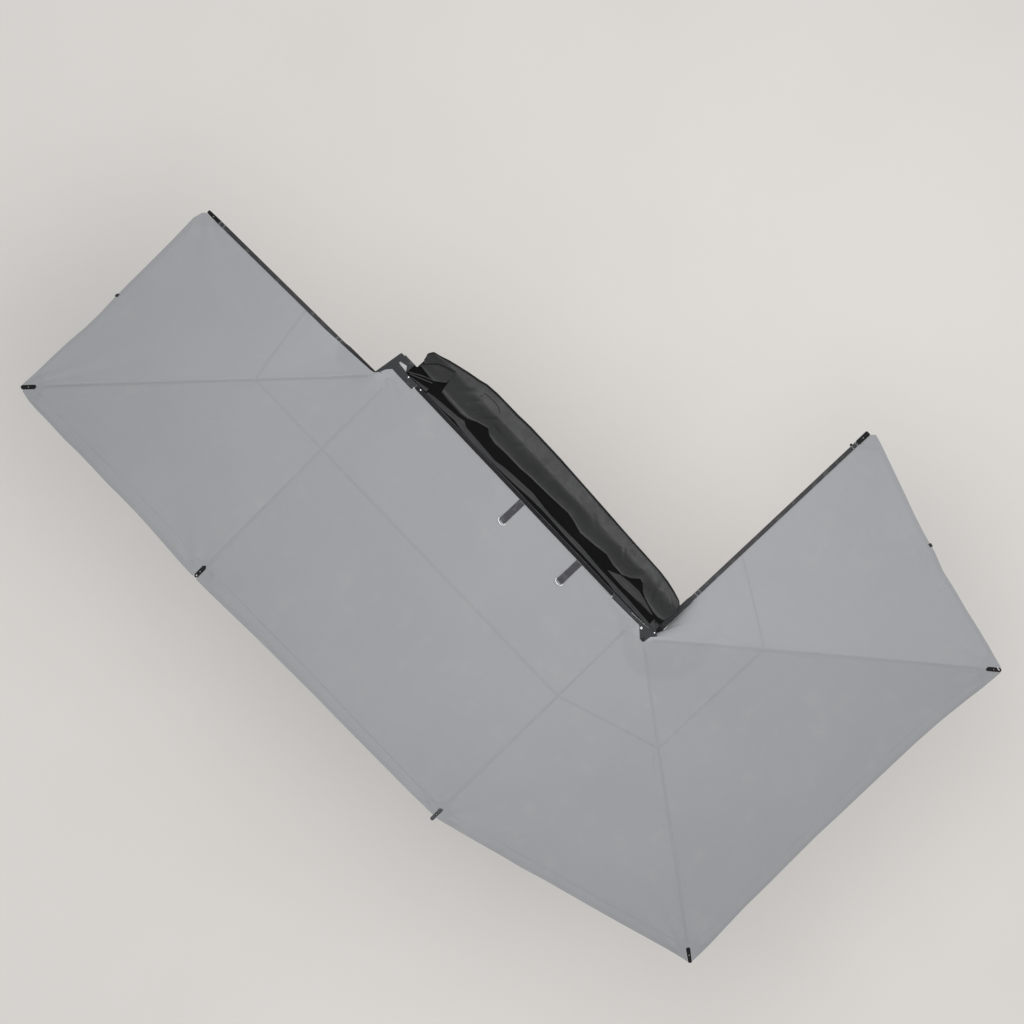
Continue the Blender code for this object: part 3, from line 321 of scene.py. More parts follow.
def lathe_shape(profile: list, sides: int) -> Shape:
    """Return a turned shape about Z.

    Args:
        profile: (radius, height) down the outside, both ends on the axis.
        sides: the number of sides round it.

    Returns:
        The turned shape.
    """
    turns = np.arange(sides) * 2 * math.pi / sides
    points = [(0.0, 0.0, profile[0][1])]
    for radius, height in profile[1:-1]:
        points += [(radius * math.cos(t), radius * math.sin(t), height) for t in turns]
    points.append((0.0, 0.0, profile[-1][1]))
    last = len(points) - 1
    faces = [(0, 1 + j, 1 + (j + 1) % sides) for j in range(sides)]
    for i in range(len(profile) - 3):
        faces += ring_faces(1 + (i + 1) * sides, 1 + i * sides, sides)
    near = last - sides
    faces += [(near + j, last, near + (j + 1) % sides) for j in range(sides)]
    return Shape(np.array(points), faces)


def resampled(path: Array, pitch: float) -> Array:
    """Return points at an even pitch along a path.

    Args:
        path: the path's points.
        pitch: the distance between the new points.

    Returns:
        The new points.
    """
    lengths = np.concatenate([[0.0], np.cumsum(np.linalg.norm(np.diff(path, axis=0), axis=1))])
    count = max(2, int(lengths[-1] / pitch))
    places = np.linspace(0.0, lengths[-1], count)
    return np.stack([np.interp(places, lengths, path[:, k]) for k in range(3)], axis=1)


def route(places: tuple, pitch: float) -> Array:
    """Return points at an even pitch along a line on level ground."""
    return resampled(np.array([(x, y, 0.0) for x, y in places]), pitch)


def stitch_shape(path: Array, pitch: float = 0.0055, width: float = 0.0011) -> Shape:
    """Return a row of stitches on level cloth, each a small pillow of thread.

    Args:
        path: the seam's points on the cloth.
        pitch: the distance from stitch to stitch.
        width: the thread's width.

    Returns:
        The row of stitches.
    """
    places = resampled(np.asarray(path, float), pitch)
    ways = unit(np.gradient(places, axis=0))
    side = unit(np.cross(ways, UP))
    half = pitch * 0.36
    corners = np.stack(
        [
            places - ways * half,
            places + side * width / 2,
            places + ways * half,
            places - side * width / 2,
            places + UP * width * 0.55,
            places - UP * width * 0.30,
        ],
        axis=1,
    )
    ring = ((0, 1, 4), (1, 2, 4), (2, 3, 4), (3, 0, 4), (1, 0, 5), (2, 1, 5), (3, 2, 5), (0, 3, 5))
    faces = [tuple(6 * i + k for k in face) for i in range(len(places)) for face in ring]
    return Shape(corners.reshape(-1, 3), faces)


# Materials
class Surface:
    """A material under construction, with one short method for each kind of node."""

    def __init__(self, name: str, turn: float = 0.0) -> None:
        """Start a material.

        Args:
            name: its name.
            turn: how far its pattern is turned about Z, in degrees.
        """
        self.material = bpy.data.materials.new(name)
        self.material.use_nodes = True
        self.tree = self.material.node_tree
        self.shader = self.tree.nodes["Principled BSDF"]
        place = self.node("ShaderNodeTexCoord", {}).outputs["Object"]
        rotation = (0.0, 0.0, math.radians(-turn))
        turned = self.node("ShaderNodeMapping", {"Vector": place, "Rotation": rotation})
        self.place = turned.outputs["Vector"]

    def node(self, kind: str, inputs: dict, **settings: object) -> bpy.types.Node:
        """Add a node.

        Args:
            kind: the node's type.
            inputs: values or sockets for its inputs, by name or number.
            settings: the node's own properties.

        Returns:
            The new node.
        """
        node = self.tree.nodes.new(kind)
        for key, value in settings.items():
            setattr(node, key, value)
        for key, value in inputs.items():
            if isinstance(value, Socket):
                self.tree.links.new(value, node.inputs[key])
            else:
                node.inputs[key].default_value = value
        return node

    def noise(self, scale: float, detail: float, stretch: Place = (1.0, 1.0, 1.0)) -> Socket:
        """Return a noise of 0 to 1.

        Args:
            scale: how fine it is.
            detail: how many finer layers it has.
            stretch: how much finer it is along each axis.

        Returns:
            The noise.
        """
        place = self.node("ShaderNodeMapping", {"Vector": self.place, "Scale": stretch})
        inputs = {"Vector": place.outputs["Vector"], "Scale": scale, "Detail": detail}
        return self.node("ShaderNodeTexNoise", inputs).outputs[0]

    def patches(self, scale: float, detail: float, *levels: float) -> Socket:
        """Return a noise whose first two levels have become the last two."""
        return self.ranged(self.noise(scale, detail), *levels)

    def threads(self, pitch: float, direction: str) -> Socket:
        """Return round parallel threads.

        Args:
            pitch: the distance from thread to thread.
            direction: the axis that they repeat along.

        Returns:
            Their height, 0 to 1.
        """
        inputs = {"Vector": self.place, "Scale": math.pi / (10 * pitch), "Distortion": 0.0}
        wave = self.node("ShaderNodeTexWave", inputs, bands_direction=direction)
        return wave.outputs["Fac"]

    def spots(self, scale: float) -> Socket:
        """Return the distance to scattered spots."""
        inputs = {"Vector": self.place, "Scale": scale}
        return self.node("ShaderNodeTexVoronoi", inputs).outputs["Distance"]

    def sum(self, a: object, b: object, how: str = "ADD") -> Socket:
        """Return two values joined by one operation."""
        return self.node("ShaderNodeMath", {0: a, 1: b}, operation=how).outputs[0]

    def times(self, a: object, b: object) -> Socket:
        """Return the product of two values."""
        return self.sum(a, b, "MULTIPLY")

    def ranged(self, value: object, low: float, high: float, start: float, end: float) -> Socket:
        """Return a value whose low to high has become start to end."""
        inputs = {"Value": value, "From Min": low, "From Max": high, "To Min": start, "To Max": end}
        return self.node("ShaderNodeMapRange", inputs).outputs[0]

    def mixed(self, share: object, a: object, b: object) -> Socket:
        """Return a colour between a and b."""
        inputs = {0: share, 6: self.rgba(a), 7: self.rgba(b)}
        return self.node("ShaderNodeMix", inputs, data_type="RGBA").outputs[2]

    @staticmethod
    def rgba(color: object) -> object:
        """Return a colour as a socket takes it."""
        return color if isinstance(color, Socket) else (*color, 1.0)

    def bump(self, height: object, depth: float, normal: object = None) -> Socket:
        """Return a normal with a relief.

        Args:
            height: the relief's height, 0 to 1.
            depth: its depth in metres.
            normal: the normal below it, if any.

        Returns:
            The new normal.
        """
        inputs = {"Height": height, "Strength": 1.0, "Distance": depth}
        if normal is not None:
            inputs["Normal"] = normal
        return self.node("ShaderNodeBump", inputs).outputs[0]

    def edges(self, radius: float) -> tuple:
        """Find the sharp edges.

        Args:
            radius: how far they are rounded.

        Returns:
            A mask that is 1 on the edges, and a normal that rounds them.
        """
        bevel = self.node("ShaderNodeBevel", {"Radius": radius}, samples=4).outputs[0]
        flat = self.node("ShaderNodeNewGeometry", {}).outputs["Normal"]
        facing = self.node("ShaderNodeVectorMath", {0: bevel, 1: flat}, operation="DOT_PRODUCT")
        return self.ranged(facing.outputs["Value"], 0.99, 0.80, 0.0, 1.0), bevel

    def dress(self, **sockets: object) -> Material:
        """Set or link the shader's sockets and return the material.

        Args:
            sockets: socket names with _ for a space, and their values.

        Returns:
            The finished material.
        """
        for key, value in sockets.items():
            socket = self.shader.inputs[key.replace("_", " ")]
            if isinstance(value, Socket):
                self.tree.links.new(value, socket)
            else:
                socket.default_value = value
        return self.material


def toned(color: Color, share: float) -> Color:
    """Return a colour with each part multiplied by a share."""
    return tuple(share * part for part in color)


@dataclass(frozen=True)
class WovenFinish:
    """Plain-woven coated cloth: crossing threads, slow colour drift, dust and soft scuffs, and
    painted shade in the gaps between threads.

    The cloth darkens from the case out to its hems by a share: painted shade, standing in for light
    that falls off away from the case.
    """

    name: str
    color: Color
    shade: Color
    pitch: float = 0.0009
    relief: float = 0.00012
    roughness: float = 0.72
    sheen: float = 0.15
    # share of painted shade that darkens the cloth towards its hems
    painted_falloff: float = 0.0
    specular: float = 0.35
    dust: Color = (0.46, 0.44, 0.41)

    def material(self, turn: float = 0.0, tone_and_painted_light: float = 1.0) -> Material:
        """Return the cloth's material.

        Args:
            turn: the angle of its threads in degrees.
            tone_and_painted_light: how light the cloth is beside its like; on the canopy panels
                this is painted light, each panel made lighter or darker in place of how light falls
                on it.

        Returns:
            The finished material.
        """
        s = Surface(self.name, turn)
        warp, weft = s.threads(self.pitch, "X"), s.threads(self.pitch, "Y")
        weave = s.sum(s.times(warp, weft), s.sum(warp, weft, "MAXIMUM"))
        drift = s.patches(1.3, 3.0, 0.35, 0.65, 0.0, 1.0)
        yarn = s.ranged(s.noise(420.0, 2.0, (1.0, 0.12, 1.0)), 0.3, 0.7, 0.0, 0.5)
        slub = s.sum(s.times(drift, 0.5), yarn)
        light, dark = toned(self.color, tone_and_painted_light), toned(self.shade, tone_and_painted_light)
        # painted shade: the gaps between the threads are darkened as if in shadow
        valley = s.ranged(weave, 0.0, 0.9, 0.35, 0.0)
        color = s.mixed(valley, s.mixed(slub, light, dark), toned(dark, 0.6))
        color = s.mixed(s.patches(7.0, 6.0, 0.56, 0.80, 0.0, 0.22), color, self.dust)
        # painted shade: darker with distance from the case, in place of light falling off towards
        # the hems
        if self.painted_falloff:
            reach = s.node("ShaderNodeVectorMath", {0: s.place}, operation="LENGTH")
            far = s.ranged(reach.outputs["Value"], 0.9, 3.0, 0.0, 1.0)
            color = s.mixed(s.times(far, self.painted_falloff / 0.5), color, toned(dark, 0.5))
        height = s.sum(s.times(weave, 0.5), s.times(s.noise(38.0, 4.0), 0.9))
        low, high = self.roughness - 0.07, self.roughness + 0.07
        return s.dress(
            Base_Color=color,
            Roughness=s.patches(22.0, 5.0, 0.2, 0.8, low, high),
            Normal=s.bump(height, self.relief),
            Sheen_Weight=self.sheen,
            Sheen_Roughness=0.5,
            Specular_IOR_Level=self.specular,
        )


@dataclass(frozen=True)
class VinylFinish:
    """PVC-coated cloth: gloss over a faint weave, with rubbed ridges and dust."""

    name: str
    color: Color
    rubbed: Color
    roughness: float = 0.42
    relief: float = 0.0012
    pitch: float = 0.0011
    dust: Color = (0.070, 0.069, 0.067)

    def material(self) -> Material:
        """Return the coated cloth's material."""
        s = Surface(self.name)
        weave = s.times(s.threads(self.pitch, "X"), s.threads(self.pitch, "Y"))
        cockle = s.sum(s.noise(26.0, 5.0), s.times(s.noise(9.0, 3.0), 3.5))
        color = s.mixed(s.patches(3.1, 4.0, 0.3, 0.7, 0.0, 1.0), self.color, self.rubbed)
        color = s.mixed(s.patches(11.0, 7.0, 0.55, 0.8, 0.0, 0.22), color, self.dust)
        height = s.sum(s.times(weave, 0.10), cockle)
        height = s.sum(height, s.times(s.noise(900.0, 2.0), 0.05))
        low, high = self.roughness - 0.08, self.roughness + 0.14
        return s.dress(
            Base_Color=color,
            Roughness=s.patches(17.0, 6.0, 0.25, 0.75, low, high),
            Normal=s.bump(height, self.relief),
            Coat_Weight=0.10,
            Coat_Roughness=0.30,
            Specular_IOR_Level=0.35,
        )


@dataclass(frozen=True)
class MetalFinish:
    """Painted, anodised, plated or bare metal with grain, streaks and worn edges."""

    name: str
    color: Color
    shade: Color
    worn: Color
    metallic: float
    roughness: float
    grain: float = 900.0
    relief: float = 0.00006
    streak: float = 0.5
    edge: float = 0.0012
    wear: float = 0.8
    specular: float = 0.5
    dust: Color = (0.30, 0.29, 0.27)

    def material(self, turn: float = 0.0) -> Material:
        """Return the metal's material.

        Args:
            turn: the angle of its streaks in degrees.

        Returns:
            The finished material.
        """
        s = Surface(self.name, turn)
        lines = s.times(s.noise(160.0, 4.0, (0.02, 1.0, 1.0)), self.streak)
        streaked = s.sum(lines, s.times(s.noise(9.0, 4.0), 0.5))
        color = s.mixed(s.ranged(streaked, 0.25, 0.75, 0.0, 1.0), self.color, self.shade)
        edge, normal = s.edges(self.edge)
        broken = s.patches(130.0, 5.0, 0.42, 0.62, 0.0, self.wear)
        color = s.mixed(s.times(edge, broken), color, self.worn)
        color = s.mixed(s.patches(23.0, 6.0, 0.58, 0.85, 0.0, 0.30), color, self.dust)
        height = s.sum(s.noise(self.grain, 2.0), lines)
        low, high = self.roughness - 0.07, self.roughness + 0.10
        return s.dress(
            Base_Color=color,
            Roughness=s.patches(60.0, 5.0, 0.2, 0.8, low, high),
            Metallic=self.metallic,
            Normal=s.bump(height, self.relief, normal),
            Specular_IOR_Level=self.specular,
        )


@dataclass(frozen=True)
class MouldedFinish:
    """Moulded plastic or rubber: fine spark texture, soft gloss, scuffed corners."""

    name: str
    color: Color
    scuffed: Color
    roughness: float = 0.5
    relief: float = 0.00010
    edge: float = 0.0010
    worn: Color = (0.13, 0.13, 0.13)

    def material(self) -> Material:
        """Return the plastic's material."""
        s = Surface(self.name)
        edge, normal = s.edges(self.edge)
        broken = s.patches(150.0, 4.0, 0.45, 0.65, 0.0, 0.7)
        color = s.mixed(s.patches(14.0, 4.0, 0.3, 0.7, 0.0, 0.6), self.color, self.scuffed)
        color = s.mixed(s.times(edge, broken), color, self.worn)
        spark = s.sum(s.spots(1500.0), s.noise(700.0, 3.0))
        low, high = self.roughness - 0.08, self.roughness + 0.1
        return s.dress(
            Base_Color=color,
            Roughness=s.patches(48.0, 4.0, 0.25, 0.75, low, high),
            Normal=s.bump(spark, self.relief, normal),
            Specular_IOR_Level=0.16,
        )


@dataclass(frozen=True)
class WebbingFinish:
    """Polyester webbing: close ribs along it, a chevron across it, fuzzed edges, and painted shade
    in the hollows of the weave.
    """

    name: str
    color: Color
    shade: Color
    rib: float = 0.0024
    pick: float = 0.0013
    relief: float = 0.0004
    dust: Color = (0.20, 0.19, 0.18)

    def material(self) -> Material:
        """Return the webbing's material."""
        s = Surface(self.name)
        weave = s.times(s.threads(self.rib, "X"), s.threads(self.pick, "DIAGONAL"))
        fuzz = s.noise(600.0, 3.0)
        # painted shade: the hollows between ribs and picks take the darker shade colour
        color = s.mixed(s.ranged(weave, 0.0, 0.8, 1.0, 0.0), self.color, self.shade)
        color = s.mixed(s.patches(30.0, 6.0, 0.5, 0.8, 0.0, 0.4), color, self.dust)
        return s.dress(
            Base_Color=color,
            Roughness=s.ranged(fuzz, 0.2, 0.8, 0.74, 0.92),
            Normal=s.bump(s.sum(weave, s.times(fuzz, 0.4)), self.relief),
            Sheen_Weight=0.3,
            Sheen_Roughness=0.4,
        )


@dataclass(frozen=True)
class FloorFinish:
    """Plain pale floor with a very slight trowelled drift, brightened only where it is seen."""

    name: str
    color: Color
    shade: Color
    relief: float = 0.0004
    brightening: float = 0.38

    def material(self) -> Material:
        """Return the floor's material."""
        s = Surface(self.name)
        color = s.mixed(s.patches(0.35, 5.0, 0.35, 0.65, 0.0, 1.0), self.color, self.shade)
        path = s.node("ShaderNodeLightPath", {}).outputs
        seen = s.sum(path["Is Camera Ray"], path["Is Glossy Ray"], "MAXIMUM")
        seen = s.sum(seen, path["Is Transmission Ray"], "MAXIMUM")
        return s.dress(
            Base_Color=color,
            Roughness=0.85,
            Normal=s.bump(s.noise(60.0, 4.0), self.relief),
            Emission_Color=(*self.color, 1.0),
            Emission_Strength=s.times(seen, self.brightening),
        )


# The awning's finishes
# The canopy cloths carry painted shade that darkens them towards their hems
CANOPY_CLOTH = WovenFinish(
    "canopy_cloth", (0.396, 0.398, 0.411), (0.368, 0.370, 0.382), painted_falloff=0.060
)
DOUBLED_CLOTH = WovenFinish(
    "doubled_cloth", (0.380, 0.382, 0.394), (0.354, 0.356, 0.368), painted_falloff=0.060
)
SEAM_THREAD = WovenFinish(
    "seam_thread", (0.30, 0.305, 0.31), (0.25, 0.255, 0.26), pitch=0.0004, relief=0.00006
)
CHARCOAL_CLOTH = WovenFinish(
    "charcoal_cloth", (0.043, 0.043, 0.044), (0.032, 0.032, 0.033),
    roughness=0.62, specular=0.25, dust=(0.10, 0.098, 0.095),
)
KEDER_TAPE = WovenFinish(
    "keder_tape", (0.013, 0.012, 0.014), (0.008, 0.008, 0.009),
    roughness=0.60, sheen=0.03, specular=0.18, dust=(0.040, 0.039, 0.040),
)
# Near-black cloth: real zip tape, and painted shade on the sheets that stand in for the shadow
# inside the open bag
ZIP_TAPE_AND_SHADE_CLOTH = WovenFinish(
    "zip_tape_and_shade_cloth", (0.0070, 0.0070, 0.0074), (0.0050, 0.0050, 0.0054),
    roughness=0.88, sheen=0.0, specular=0.08, dust=(0.012, 0.012, 0.012),
)
BAG_VINYL = VinylFinish("bag_vinyl", (0.020, 0.020, 0.0205), (0.028, 0.028, 0.0285))
PIPING = MouldedFinish("bag_piping", (0.010, 0.010, 0.011), (0.020, 0.020, 0.021), roughness=0.4)
BLACK_PLASTIC = MouldedFinish("black_plastic", (0.006, 0.006, 0.0066), (0.013, 0.013, 0.0136))
GREY_PLASTIC = MouldedFinish("grey_plastic", (0.066, 0.068, 0.072), (0.085, 0.087, 0.092))
RAIL_METAL = MetalFinish(
    "rail_anodised", (0.050, 0.050, 0.055), (0.036, 0.036, 0.040), (0.30, 0.30, 0.31),
    metallic=0.5, roughness=0.42, specular=0.30,
)
BLACKENED = MetalFinish(
    "blackened_steel", (0.018, 0.018, 0.020), (0.010, 0.010, 0.011), (0.16, 0.16, 0.17),
    metallic=0.6, roughness=0.42, specular=0.25,
)
POWDER_COAT = MetalFinish(
    "powder_coat", (0.030, 0.031, 0.034), (0.040, 0.041, 0.045), (0.22, 0.22, 0.23),
    metallic=0.1, roughness=0.48, grain=520.0, relief=0.00012, streak=0.1, specular=0.20,
)
ZINC_PLATE = MetalFinish(
    "zinc_plate", (0.62, 0.63, 0.64), (0.48, 0.49, 0.50), (0.80, 0.80, 0.80),
    metallic=1.0, roughness=0.30, edge=0.0008,
)
ARM_METAL = MetalFinish(
    "arm_anodised", (0.044, 0.042, 0.045), (0.032, 0.031, 0.033), (0.26, 0.25, 0.26),
    metallic=0.40, roughness=0.42, specular=0.25,
)
BARE_PLATE = MetalFinish(
    "bare_plate", (0.44, 0.44, 0.45), (0.36, 0.36, 0.37), (0.60, 0.60, 0.60),
    metallic=0.25, roughness=0.45, edge=0.0006,
)
BARE_TUBE = MetalFinish(
    "bare_tube", (0.68, 0.69, 0.70), (0.52, 0.53, 0.54), (0.85, 0.85, 0.85),
    metallic=1.0, roughness=0.28, edge=0.0006,
)
RING_CHROME = MetalFinish(
    "ring_chrome", (0.82, 0.82, 0.83), (0.70, 0.70, 0.72), (0.90, 0.90, 0.90),
    metallic=1.0, roughness=0.14, relief=0.00002, streak=0.05, edge=0.0005,
)
STRAP_WEBBING = WebbingFinish("strap_webbing", (0.088, 0.082, 0.092), (0.048, 0.045, 0.051))
LOOP_WEBBING = WebbingFinish("loop_webbing", (0.020, 0.020, 0.021), (0.010, 0.010, 0.011))
PALE_FLOOR = FloorFinish("pale_floor", (0.640, 0.615, 0.585), (0.605, 0.580, 0.550))


# Arms

# How far the cloth lies from the middle of arms 1 and 7, at distances from their pins
FRONT_OVERLAP = ((0.05, -0.003), (0.28, 0.007), (0.50, 0.0162), (1.46, 0.0158), (1.564, 0.0158))
REAR_CLEARANCE = ((0.265, 0.0217), (0.305, 0.0156))
FRONT_TUCK = (0.50, 0.60)  # where the cloth goes from on top of arm 1 to beside it


@dataclass(frozen=True)
class Arm:
    """One arm: its pin, length and open angle in degrees, and how the cloth meets it.

    The cloth starts at one distance from the pin and its cross seam lies at another. Its corner
    lies short of the tip's end, beside a tip of half a width.
    """

    number: int
    pin: Point
    length: float
    angle: float
    short: float
    start: float
    seam: float
    wide: bool = False
    tip_half: float = 0.0150

    @property
    def top(self) -> float:
        """Height of the arm's top."""
        return ARM_TOPS[self.number - 1]

    @property
    def body(self) -> Body:
        """The body that the arm is."""
        return Body(f"arm_{self.number}")

    @property
    def outer(self) -> float:
        """Distance from the pin to the inner end of the tip."""
        return self.length - TIP_LENGTH - GAP

    @property
    def notch(self) -> float:
        """Distance from the pin to the notch that the cloth leaves round the tip."""
        return self.length - TIP_LENGTH - NOTCH

    @property
    def corner(self) -> float:
        """Distance from the pin to the cloth's outer corner."""
        return self.length - self.short

    @property
    def level(self) -> float:
        """Width of the cloth that lies level beside the arm's middle."""
        return 0.010 if self.wide else 0.017

    @property
    def seam_share(self) -> float:
        """Share of the cloth's side at the cross seam."""
        return KNEE * (self.seam - self.start) / (self.notch - self.start)

    @property
    def way(self) -> Array:
        """Direction from the pin to the tip."""
        turn = math.radians(self.angle)
        return np.array([math.cos(turn), math.sin(turn), 0.0])

    @property
    def left(self) -> Array:
        """Direction to the arm's left."""
        return np.array([-self.way[1], self.way[0], 0.0])

    def point(
        self, distance: Array | float, aside: Array | float = 0.0, lift: float = 0.0
    ) -> Array:
        """Return points over the arm.

        Args:
            distance: how far from the pin.
            aside: how far to the left.
            lift: how far above the arm's top.

        Returns:
            The points.
        """
        base = np.array([*self.pin, self.top + lift])
        return base + np.multiply.outer(distance, self.way) + np.multiply.outer(aside, self.left)

    def side(self, hand: int, share: Array) -> Array:
        """Return points on the side of the cloth that runs along the arm.

        Args:
            hand: +1 where the cloth is to the arm's left, -1 to its right.
            share: 0 at the inner edge, 1 at the outer one.

        Returns:
            The points.
        """
        inner = self.start + (self.notch - self.start) * share / KNEE
        outer = self.notch + (self.corner - self.notch) * (share - KNEE) / (1 - KNEE)
        distance = np.where(share < KNEE, inner, outer)
        past = smooth_step(distance, self.notch, self.notch + NOTCH)
        beside = self.tip_half + TIP_CLEARANCE
        if not self.wide:
            aside = hand * (GAP / 2 + (beside - GAP / 2) * past)
            return self.point(distance, aside) + np.multiply.outer(GAP - TIP_DIP * past, UP)
        if self.number == 1:
            aside = line_at(FRONT_OVERLAP, distance)
            under = smooth_step(distance, *FRONT_TUCK)
        else:
            aside = line_at(REAR_CLEARANCE, distance)
            aside = aside + (beside - aside) * past
            under = 1.0
        lift = 2 * GAP - (SIDE_DROP + 2 * GAP) * under
        return self.point(distance, hand * aside) + np.multiply.outer(lift + 0.0 * distance, UP)


ARMS = (
    Arm(1, PIN_FRONT_OUTER, 1.564, 182.05, 0.000, 0.050, 0.640, wide=True),
    Arm(2, PIN_FRONT_OUTER, 2.352, 228.30, 0.011, 0.000, 0.800),
    Arm(3, PIN_FRONT_INNER, 1.818, 271.70, -0.004, -0.069, 0.630),
    Arm(4, PIN_REAR_INNER, 1.855, 270.80, 0.034, -0.027, 0.684),
    Arm(5, PIN_REAR_OUTER, 2.165, 324.90, 0.010, 0.012, 0.730),
    Arm(6, PIN_REAR_OUTER, 2.391, 41.56, 0.003, 0.012, 0.810),
    Arm(7, PIN_REAR_END, 1.905, 89.70, 0.000, 0.060, 0.735, wide=True, tip_half=0.0182),
)


def arm(number: int) -> Arm:
    """Return an arm by its number."""
    return ARMS[number - 1]


@dataclass
class ArmDress:
    """Finishes and small hardware of the arms and their legs."""

    rivet_radius: float = 0.0032
    rivet_height: float = 0.0014
    rivet_aside: float = 0.007
    rivet_places: tuple = (0.335, 0.365)
    rivet_insets: tuple = (0.012, 0.045)
    eye_inset: float = 0.050
    eye_radius: float = 0.0050
    eye_wire: float = 0.0020

    def build(self) -> None:
        """Dress the arms' nodes and add rivets on the two arms that the canopy leaves bare."""
        plastic, plate = BLACK_PLASTIC.material(), POWDER_COAT.material()
        for each in ARMS:
            name, leg = f"arm_{each.number}", f"leg_{each.number}"
            dress_nodes(ARM_METAL.material(each.angle), f"{name}_channel")
            dress_nodes(plate, f"{name}_knuckle")
            dress_nodes(plastic, f"{name}_tip")
            if f"{leg}_collar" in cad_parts:
                tube = BARE_TUBE.material(each.angle)
                dress_nodes(tube, f"{leg}_upper_tube", f"{leg}_lower_tube")
                dress_nodes(plastic, f"{leg}_collar", f"{leg}_pivot_knob")
        dress_nodes(GREY_PLASTIC.material(), "arm_4_tip")
        for each in (arm(1), arm(7)):
            self.rivets(each)
        for each in ARMS:
            self.eyelet(each)

    def eyelet(self, each: Arm) -> None:
        """Set a blackened eyelet round the eye in one arm's tip.

        Args:
            each: the arm.
        """
        turns = np.linspace(0.0, 2 * math.pi, 24, endpoint=False)
        middle = each.point(each.length - self.eye_inset, 0.0, self.eye_wire * 0.7)
        ring = self.eye_radius * np.stack([np.cos(turns), np.sin(turns), 0.0 * turns], axis=1)
        shape = tube_shape(middle + ring, self.eye_wire, 8, closed=True)
        shape.piece(f"arm_{each.number}_eyelet", BLACKENED.material(), each.body, Slot.ZINC)

    def rivets(self, each: Arm) -> None:
        """Add rivets over one arm's knuckle and tip.

        Args:
            each: the arm.
        """
        radius, height = self.rivet_radius, self.rivet_height
        dome = [(0.0, height), (radius * 0.55, height * 0.9), (radius, height * 0.3)]
        head = lathe_shape([*dome, (radius, GAP), (0.0, GAP)], 12)
        places = [*self.rivet_places, *(each.outer - inset for inset in self.rivet_insets)]
        heads = [
            head.moved(Matrix.Translation(Vector(each.point(place, side * self.rivet_aside))))
            for place in places
            for side in (-1, 1)
        ]
        metal = ZINC_PLATE.material()
        Shape.joined(heads).piece(f"arm_{each.number}_rivets", metal, each.body, Slot.ZINC)


def dress_nodes(material: Material, *names: str) -> None:
    """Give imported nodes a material.

    Args:
        material: the material.
        names: the nodes' names.
    """
    for name in names:
        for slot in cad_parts[name].material_slots:
            slot.material = material


# Canopy
def wave(place: Array, length: float, phase: float = 0.0) -> Array:
    """Return a sine wave of a length in metres."""
    return np.sin(2 * math.pi * place / length + phase)


@dataclass(frozen=True)
class Crease:
    """A soft fold in the cloth along a straight line."""

    start: Point
    end: Point
    width: float
    height: float

    def lift(self, x: Array, y: Array) -> Array:
        """Return how far the fold lifts the cloth.

        Args:
            x: places along the case.
            y: places across it.

        Returns:
            The lift at each place.
        """
        ax, ay = self.start
        dx, dy = self.end[0] - ax, self.end[1] - ay
        length = math.hypot(dx, dy)
        along = ((x - ax) * dx + (y - ay) * dy) / length
        across = ((x - ax) * dy - (y - ay) * dx) / length
        fade = 0.3 * length
        ends = smooth_step(along, 0.0, fade) * smooth_step(length - along, 0.0, fade)
        return self.height * ends * np.exp(-((across / self.width) ** 2))


HEM_SHARES = (
    0.02, 0.06, 0.10, 0.18, 0.26, 0.34, 0.42, 0.50, 0.58, 0.66, 0.74, 0.82, 0.90, 0.94, 0.98,
)
CREASES = (
    Crease((-2.62, -1.79), (-2.36, -1.54), 0.010, 0.0050),
    Crease((-2.60, -1.72), (-2.38, -1.50), 0.012, -0.0035),
    Crease((-1.87, -1.01), (-1.71, -0.89), 0.010, 0.0050),
    Crease((1.36, 0.00), (1.68, 0.27), 0.010, 0.0045),
    Crease((1.58, 0.14), (2.38, 0.84), 0.011, 0.0050),
    Crease((1.62, 0.14), (2.20, 0.62), 0.013, -0.0035),
    Crease((2.72, 1.28), (2.93, 1.33), 0.010, 0.0050),
    Crease((2.74, 1.20), (2.95, 1.31), 0.010, 0.0045),
    Crease((2.78, 1.12), (2.94, 1.28), 0.011, -0.0040),
    Crease((1.80, -0.62), (1.95, -0.76), 0.010, 0.0045),
    Crease((1.86, -0.60), (1.94, -0.70), 0.010, -0.0035),
)


def bar_distance(x: Array, y: Array, a: Point, b: Point, radius: float) -> Array:
    """Return the distance outside a bar with round ends, 0 inside it.

    Args:
        x: places along the case.
        y: places across it.
        a: the centre of one end.
        b: the centre of the other end.
        radius: half the bar's width.

    Returns:
        The distance at each place.
    """
    dx, dy = b[0] - a[0], b[1] - a[1]
    share = ((x - a[0]) * dx + (y - a[1]) * dy) / (dx * dx + dy * dy + 1e-12)
    share = np.clip(share, 0.0, 1.0)
    gap = np.hypot(x - a[0] - share * dx, y - a[1] - share * dy) - radius
    return np.maximum(gap, 0.0)


def box_distance(x: Array, y: Array, low: Point, high: Point) -> Array:
    """Return the distance outside an upright rectangle, 0 inside it.

    Args:
        x: places along the case.
        y: places across it.
        low: the rectangle's low corner.
        high: its high corner.

    Returns:
        The distance at each place.
    """
    dx = np.maximum(np.maximum(low[0] - x, x - high[0]), 0.0)
    dy = np.maximum(np.maximum(low[1] - y, y - high[1]), 0.0)
    return np.hypot(dx, dy)


